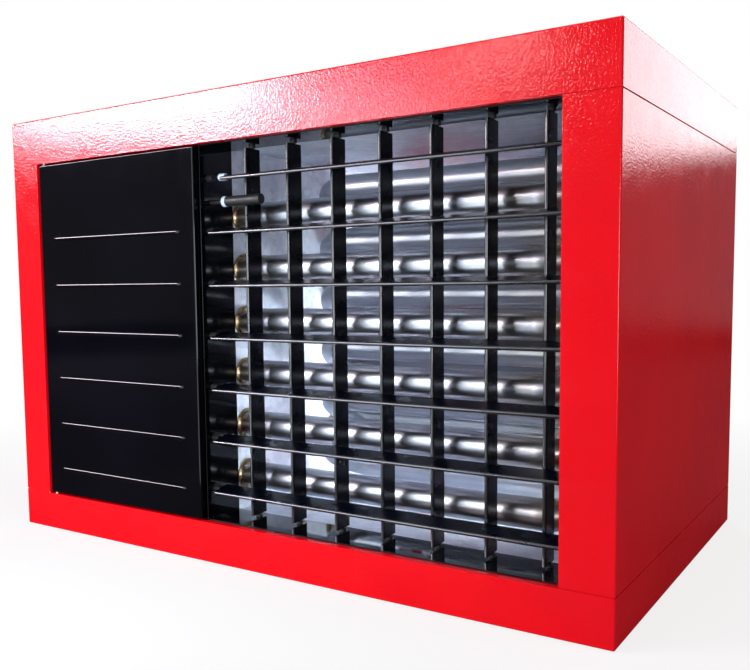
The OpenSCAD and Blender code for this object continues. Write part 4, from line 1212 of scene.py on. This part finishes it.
@dataclass
class FlueSide:
    """The flue box, its fan and the two spigots behind."""

    z: float = 563.0
    flue_x: float = 321.9
    air_x: float = 150.0
    screw_circle: float = 58.5
    screw_head: Profile = ((0.0, 2.4), (1.6, 2.2), (3.2, 1.2), (3.6, 0.0), (0.0, 0.0))
    flange_face: float = REAR_BACK + 1.3

    def spigot(self, name: str, node: str, x: float) -> None:
        """Dresses one spigot and screws its flange down.

        Args:
            name: Name of the piece.
            node: The CAD node that it replaces.
            x: Place of the spigot across the heater.
        """
        node_form(node, name).finish(Finish.ALUMINISED, Body.CASING, [node], 35.0, outward=False)
        screws = Form(f"{name}_screws")
        for angle in turns(4):
            across = self.screw_circle * math.cos(angle + math.pi / 4)
            up = self.screw_circle * math.sin(angle + math.pi / 4)
            place = (x + across, self.flange_face, self.z + up)
            screws.turned(Axis.Y, place, self.screw_head, 20, closed=False)
        screws.finish(Finish.ZINC_PLATE, Body.CASING, (), 30.0)

    def build(self) -> None:
        """Builds the flue side."""
        self.spigot("flue_outlet", "flue_spigot", self.flue_x)
        self.spigot("air_inlet", "air_inlet_spigot", self.air_x)
        for node in ("flue_collector", "flue_fan_housing"):
            dress(node, Finish.ALUMINISED, 0.6, 35.0, 20.0)
        dress("flue_fan_impeller", Finish.ALUMINISED, 0.0, 35.0)
        dress("flue_fan_motor", Finish.FAN_GREY, 0.0, 35.0)


@dataclass
class GasTrain:
    """The burners, the manifold, the injectors, the valve with its knob, the pipe and the electrodes."""

    burner_y: float = 118.0
    first: float = 122.0
    pitch: float = 86.6
    count: int = 6
    inlet: float = 294.0
    throat: float = 11.0
    bell: Profile = ((7.0, 0.0), (4.2, 3.0), (1.9, 8.0), (0.6, 14.0), (0.0, 22.0))
    cone: Profile = ((0.0, 88.0), (0.8, 94.0), (3.0, 100.0), (5.0, 106.0), (7.4, 118.0), (8.0, 128.0))
    sheet: float = 1.2

    def burners(self) -> None:
        """Builds the burners with a smooth venturi and a rolled bell."""
        form = Form("burner_set")
        outer = [(self.throat + flare, along) for flare, along in (*self.bell, *self.cone)]
        profile = outer + [(r - self.sheet, along) for r, along in reversed(outer)]
        for index in range(self.count):
            z = self.first + index * self.pitch
            form.turned(Axis.X, (self.inlet, self.burner_y, z), profile, 36)
        form.finish(Finish.ALUMINISED, Body.CASING, ["burners"], 50.0)

    def build(self) -> None:
        """Builds the gas train."""
        self.burners()
        dress("burner_rack", Finish.GALVANISED, 0.5)
        dress("gas_manifold", Finish.BLACK_IRON, 0.0, 35.0)
        dress("gas_injectors", Finish.BRASS, 0.0, 30.0)
        dress("gas_valve", Finish.CAST_ALLOY, 1.6, 35.0)
        dress("gas_valve_knob", Finish.BLACK_PLASTIC, 0.0, 30.0)
        dress("gas_inlet_pipe", Finish.BLACK_IRON, 0.0, 35.0)
        dress("flame_electrodes", Finish.CERAMIC, 0.0, 35.0)


@dataclass
class Controls:
    """The control box, its reset button, the pressure switch, the thermostat and the cable gland."""

    box_low: Point = (3.3, 190.0, 250.0)
    box_high: Point = (65.3, 410.0, 420.0)
    screw_inset: float = 9.0
    screw_head: Profile = ((0.0, 1.6), (2.2, 1.3), (3.4, 0.0), (0.0, 0.0))
    stat_nut: Point = (469.3, 40.0, 574.0)
    nut: Profile = ((4.1, 0.0), (7.2, 0.0), (8.35, 0.9), (8.35, 7.4), (4.1, 7.4))

    def thermostat(self) -> None:
        """Builds the limit thermostat, with a pale end on its black sleeve."""
        dress("limit_thermostat", Finish.BLACK_PLASTIC, 0.0, 35.0)
        form = Form("thermostat_nut")
        form.turned(Axis.X, self.stat_nut, self.nut, 32)
        form.finish(Finish.NYLON, Body.CASING, (), 35.0)

    def box_screws(self) -> None:
        """Adds the corner screws of the control box's lid."""
        form = Form("control_box_screws")
        x, inset = self.box_high[0], self.screw_inset
        for y in (self.box_low[1] + inset, self.box_high[1] - inset):
            for z in (self.box_low[2] + inset, self.box_high[2] - inset):
                form.turned(Axis.X, (x, y, z), self.screw_head, 20, closed=False)
        form.finish(Finish.ZINC_PLATE, Body.CASING, (), 30.0)

    def build(self) -> None:
        """Builds the controls."""
        dress("control_box", Finish.GREY_PLASTIC, 1.4)
        dress("reset_button", Finish.RED_PLASTIC, 0.0, 30.0)
        dress("pressure_switch", Finish.GREY_PLASTIC, 0.0, 30.0)
        dress("cable_gland", Finish.BLACK_PLASTIC, 0.0, 30.0)
        self.thermostat()
        self.box_screws()


# Studio


@dataclass
class Softbox:
    """A rectangular soft lamp aimed at a point."""

    name: str
    place: Point
    aim: Point
    width: float
    height: float
    radiance: float
    tint: Colour = WHITE
    hidden: bool = False
    spread: float = 180.0

    def build(self) -> None:
        """Builds the lamp, with its power worked out from its brightness."""
        data = bpy.data.lights.new(self.name, "AREA")
        data.shape = "RECTANGLE"
        data.size, data.size_y = self.width, self.height
        data.energy = self.radiance * math.pi * self.width * self.height
        data.color = self.tint
        data.spread = math.radians(self.spread)
        lamp = in_scene(self.name, data)
        lamp.location = self.place
        lamp.visible_camera = False
        lamp.visible_glossy = not self.hidden
        lamp.rotation_mode = "QUATERNION"
        lamp.rotation_quaternion = (Vector(self.aim) - Vector(self.place)).to_track_quat("-Z", "Y")


def plainly_seen(tree: bpy.types.NodeTree) -> tuple[bpy.types.Node, Socket]:
    """The light path node, and a socket that is 1 for rays from the camera or through glass."""
    rays = tree.nodes.new("ShaderNodeLightPath")
    either = tree.nodes.new("ShaderNodeMath")
    either.operation = "MAXIMUM"
    for socket, kind in zip(either.inputs, ("Is Camera Ray", "Is Transmission Ray")):
        tree.links.new(rays.outputs[kind], socket)
    return rays, either.outputs[0]


def mixed(tree: bpy.types.NodeTree, *sources: Socket) -> Socket:
    """Two shaders mixed by a share, given as the share and the shaders."""
    mix = tree.nodes.new("ShaderNodeMixShader")
    for socket, source in zip(mix.inputs, sources):
        tree.links.new(source, socket)
    return mix.outputs[0]


def plain_shader(tree: bpy.types.NodeTree, kind: str, colour: Colour) -> Socket:
    """A shader of one colour."""
    made = tree.nodes.new(kind)
    made.inputs[0].default_value = (*colour, 1.0)
    return made.outputs[0]


@dataclass
class Studio:
    """A pale floor, soft lamps and a quiet room light that the camera sees as plain white."""

    floor_size: float = 14.0
    floor_top: float = -0.001
    floor_bottom: float = -0.03
    paper: Colour = (0.80, 0.80, 0.80)
    mirrored: Colour = (0.05, 0.05, 0.055)
    room: Colour = (0.10, 0.10, 0.11)
    shadow_share: float = 0.22
    clear_radius: tuple[float, float] = (0.9, 1.7)
    lamps: Sequence[Softbox] = (
        Softbox("wash window", (-3.2, -3.5, 1.66), (0.0, -0.3, 0.6), 3.3, 0.56, 10.0, (1.0, 0.74, 0.94)),
        Softbox("bright window", (-3.4, -3.42, 1.72), (0.0, -0.3, 0.6), 1.6, 0.42, 50.0, (1.0, 0.93, 1.0)),
        Softbox("small window", (-0.95, -3.5, 1.60), (0.0, -0.3, 0.6), 0.34, 0.22, 16.0, (1.0, 0.95, 0.98)),
        Softbox("front softbox", (1.9, -2.9, 0.40), (0.1, -0.3, 0.35), 1.7, 0.7, 7.5, (0.86, 0.93, 1.0)),
        Softbox(
            "airway softbox", (-0.24, -0.92, 0.37), (-0.24, 0.0, 0.37), 0.7, 0.86, 2.6, (0.82, 0.92, 1.0)
        ),
        Softbox("top softbox", (0.4, -0.6, 3.4), (0.0, 0.0, 0.4), 2.4, 2.0, 3.0),
        Softbox("side glow", (1.6, 4.0, 1.75), (0.55, 0.0, 0.5), 1.7, 1.2, 3.2, (1.0, 0.93, 0.97)),
        Softbox("side softbox", (3.6, 0.2, 2.6), (0.5, 0.0, 0.4), 1.6, 1.4, 4.0),
        Softbox("rear softbox", (-1.8, 3.4, 2.9), (0.0, 0.3, 0.4), 2.4, 1.6, 4.5),
        Softbox(
            "airway bounce", (0.47, 0.0, 0.27), (-0.1, 0.0, 0.25), 0.5, 0.3, 26.0, (0.80, 0.90, 1.0),
            hidden=True, spread=95.0,
        ),
    )

    def floor(self) -> None:
        """Builds the floor, which the camera sees as open_floor() and mirrors see as dark."""
        shape = bmesh.new()
        middle = Matrix.Translation((0.0, 0.0, (self.floor_top + self.floor_bottom) / 2))
        size = (self.floor_size, self.floor_size, self.floor_top - self.floor_bottom, 1.0)
        bmesh.ops.create_cube(shape, size=1.0, matrix=middle @ Matrix.Diagonal(size))
        mesh = bpy.data.meshes.new("floor")
        shape.to_mesh(mesh)
        shape.free()
        recipe = Recipe("floor paper")
        recipe.put(Base_Color=self.paper, Roughness=0.9, Specular_IOR_Level=0.1)
        tree = recipe.tree
        rays, direct = plainly_seen(tree)
        dark = plain_shader(tree, "ShaderNodeBsdfDiffuse", self.mirrored)
        glow = plain_shader(tree, "ShaderNodeEmission", WHITE)
        lit = mixed(tree, rays.outputs["Is Glossy Ray"], recipe.shader.outputs[0], dark)
        seen = mixed(tree, recipe.times(direct, self.open_floor(recipe)), lit, glow)
        tree.links.new(seen, tree.nodes["Material Output"].inputs[0])
        mesh.materials.append(recipe.material)
        in_scene("floor", mesh)

    def open_floor(self, recipe: Recipe) -> Socket:
        """How white the floor looks: nearly so in the heater's shadow, and wholly so beyond it."""
        away = recipe.node("ShaderNodeVectorMath", Vector=recipe.coords.outputs["Object"])
        away.operation = "LENGTH"
        return recipe.spread(away.outputs["Value"], *self.clear_radius, 1.0 - self.shadow_share, 1.0)

    def world(self) -> None:
        """Builds the room light, which the camera sees as plain white."""
        world = bpy.data.worlds.new("room light")
        bpy.context.scene.world = world
        world.use_nodes = True
        tree = world.node_tree
        room = tree.nodes["Background"]
        room.inputs[0].default_value = (*self.room, 1.0)
        _, direct = plainly_seen(tree)
        plain = plain_shader(tree, "ShaderNodeBackground", WHITE)
        tree.links.new(mixed(tree, direct, room.outputs[0], plain), tree.nodes["World Output"].inputs[0])

    def build(self) -> None:
        """Builds the studio."""
        self.floor()
        self.world()
        for lamp in self.lamps:
            lamp.build()
        bpy.context.scene.view_settings.view_transform = "Standard"


@dataclass
class PhotoCamera:
    """The camera, solved from the casing's corners in the photograph."""

    place: Point = (0.85112, -1.41668, 0.44615)
    forward: Point = (-0.56660, 0.81949, -0.08608)
    up: Point = (-0.03722, 0.07890, 0.99619)
    lens: float = 42.64
    sensor: float = 36.0
    shift: tuple[float, float] = (0.0695, 0.0312)

    def build(self) -> None:
        """Builds the camera and makes it the scene's own."""
        data = bpy.data.cameras.new("photo camera")
        data.lens, data.sensor_width = self.lens, self.sensor
        data.sensor_fit = "HORIZONTAL"
        data.shift_x, data.shift_y = self.shift
        data.clip_start, data.clip_end = 0.05, 60.0
        camera = in_scene("photo camera", data)
        back = -Vector(self.forward).normalized()
        side = Vector(self.up).cross(back).normalized()
        above = back.cross(side)
        turn = Matrix((side, above, back)).transposed().to_4x4()
        camera.matrix_world = Matrix.Translation(self.place) @ turn
        bpy.context.scene.camera = camera


def main() -> None:
    """Builds the studio and every sub-assembly in order."""
    logging.basicConfig(level=logging.INFO, format="%(name)s: %(message)s")
    PhotoCamera().build()
    Studio().build()
    builders: Sequence[Callable[[], None]] = (
        Casing().build, AccessDoor().build, Louvres().build, HeatExchanger().build, MainFan().build,
        FlueSide().build, GasTrain().build, Controls().build,
    )
    for build in builders:
        build()


if __name__ == "__main__":
    main()
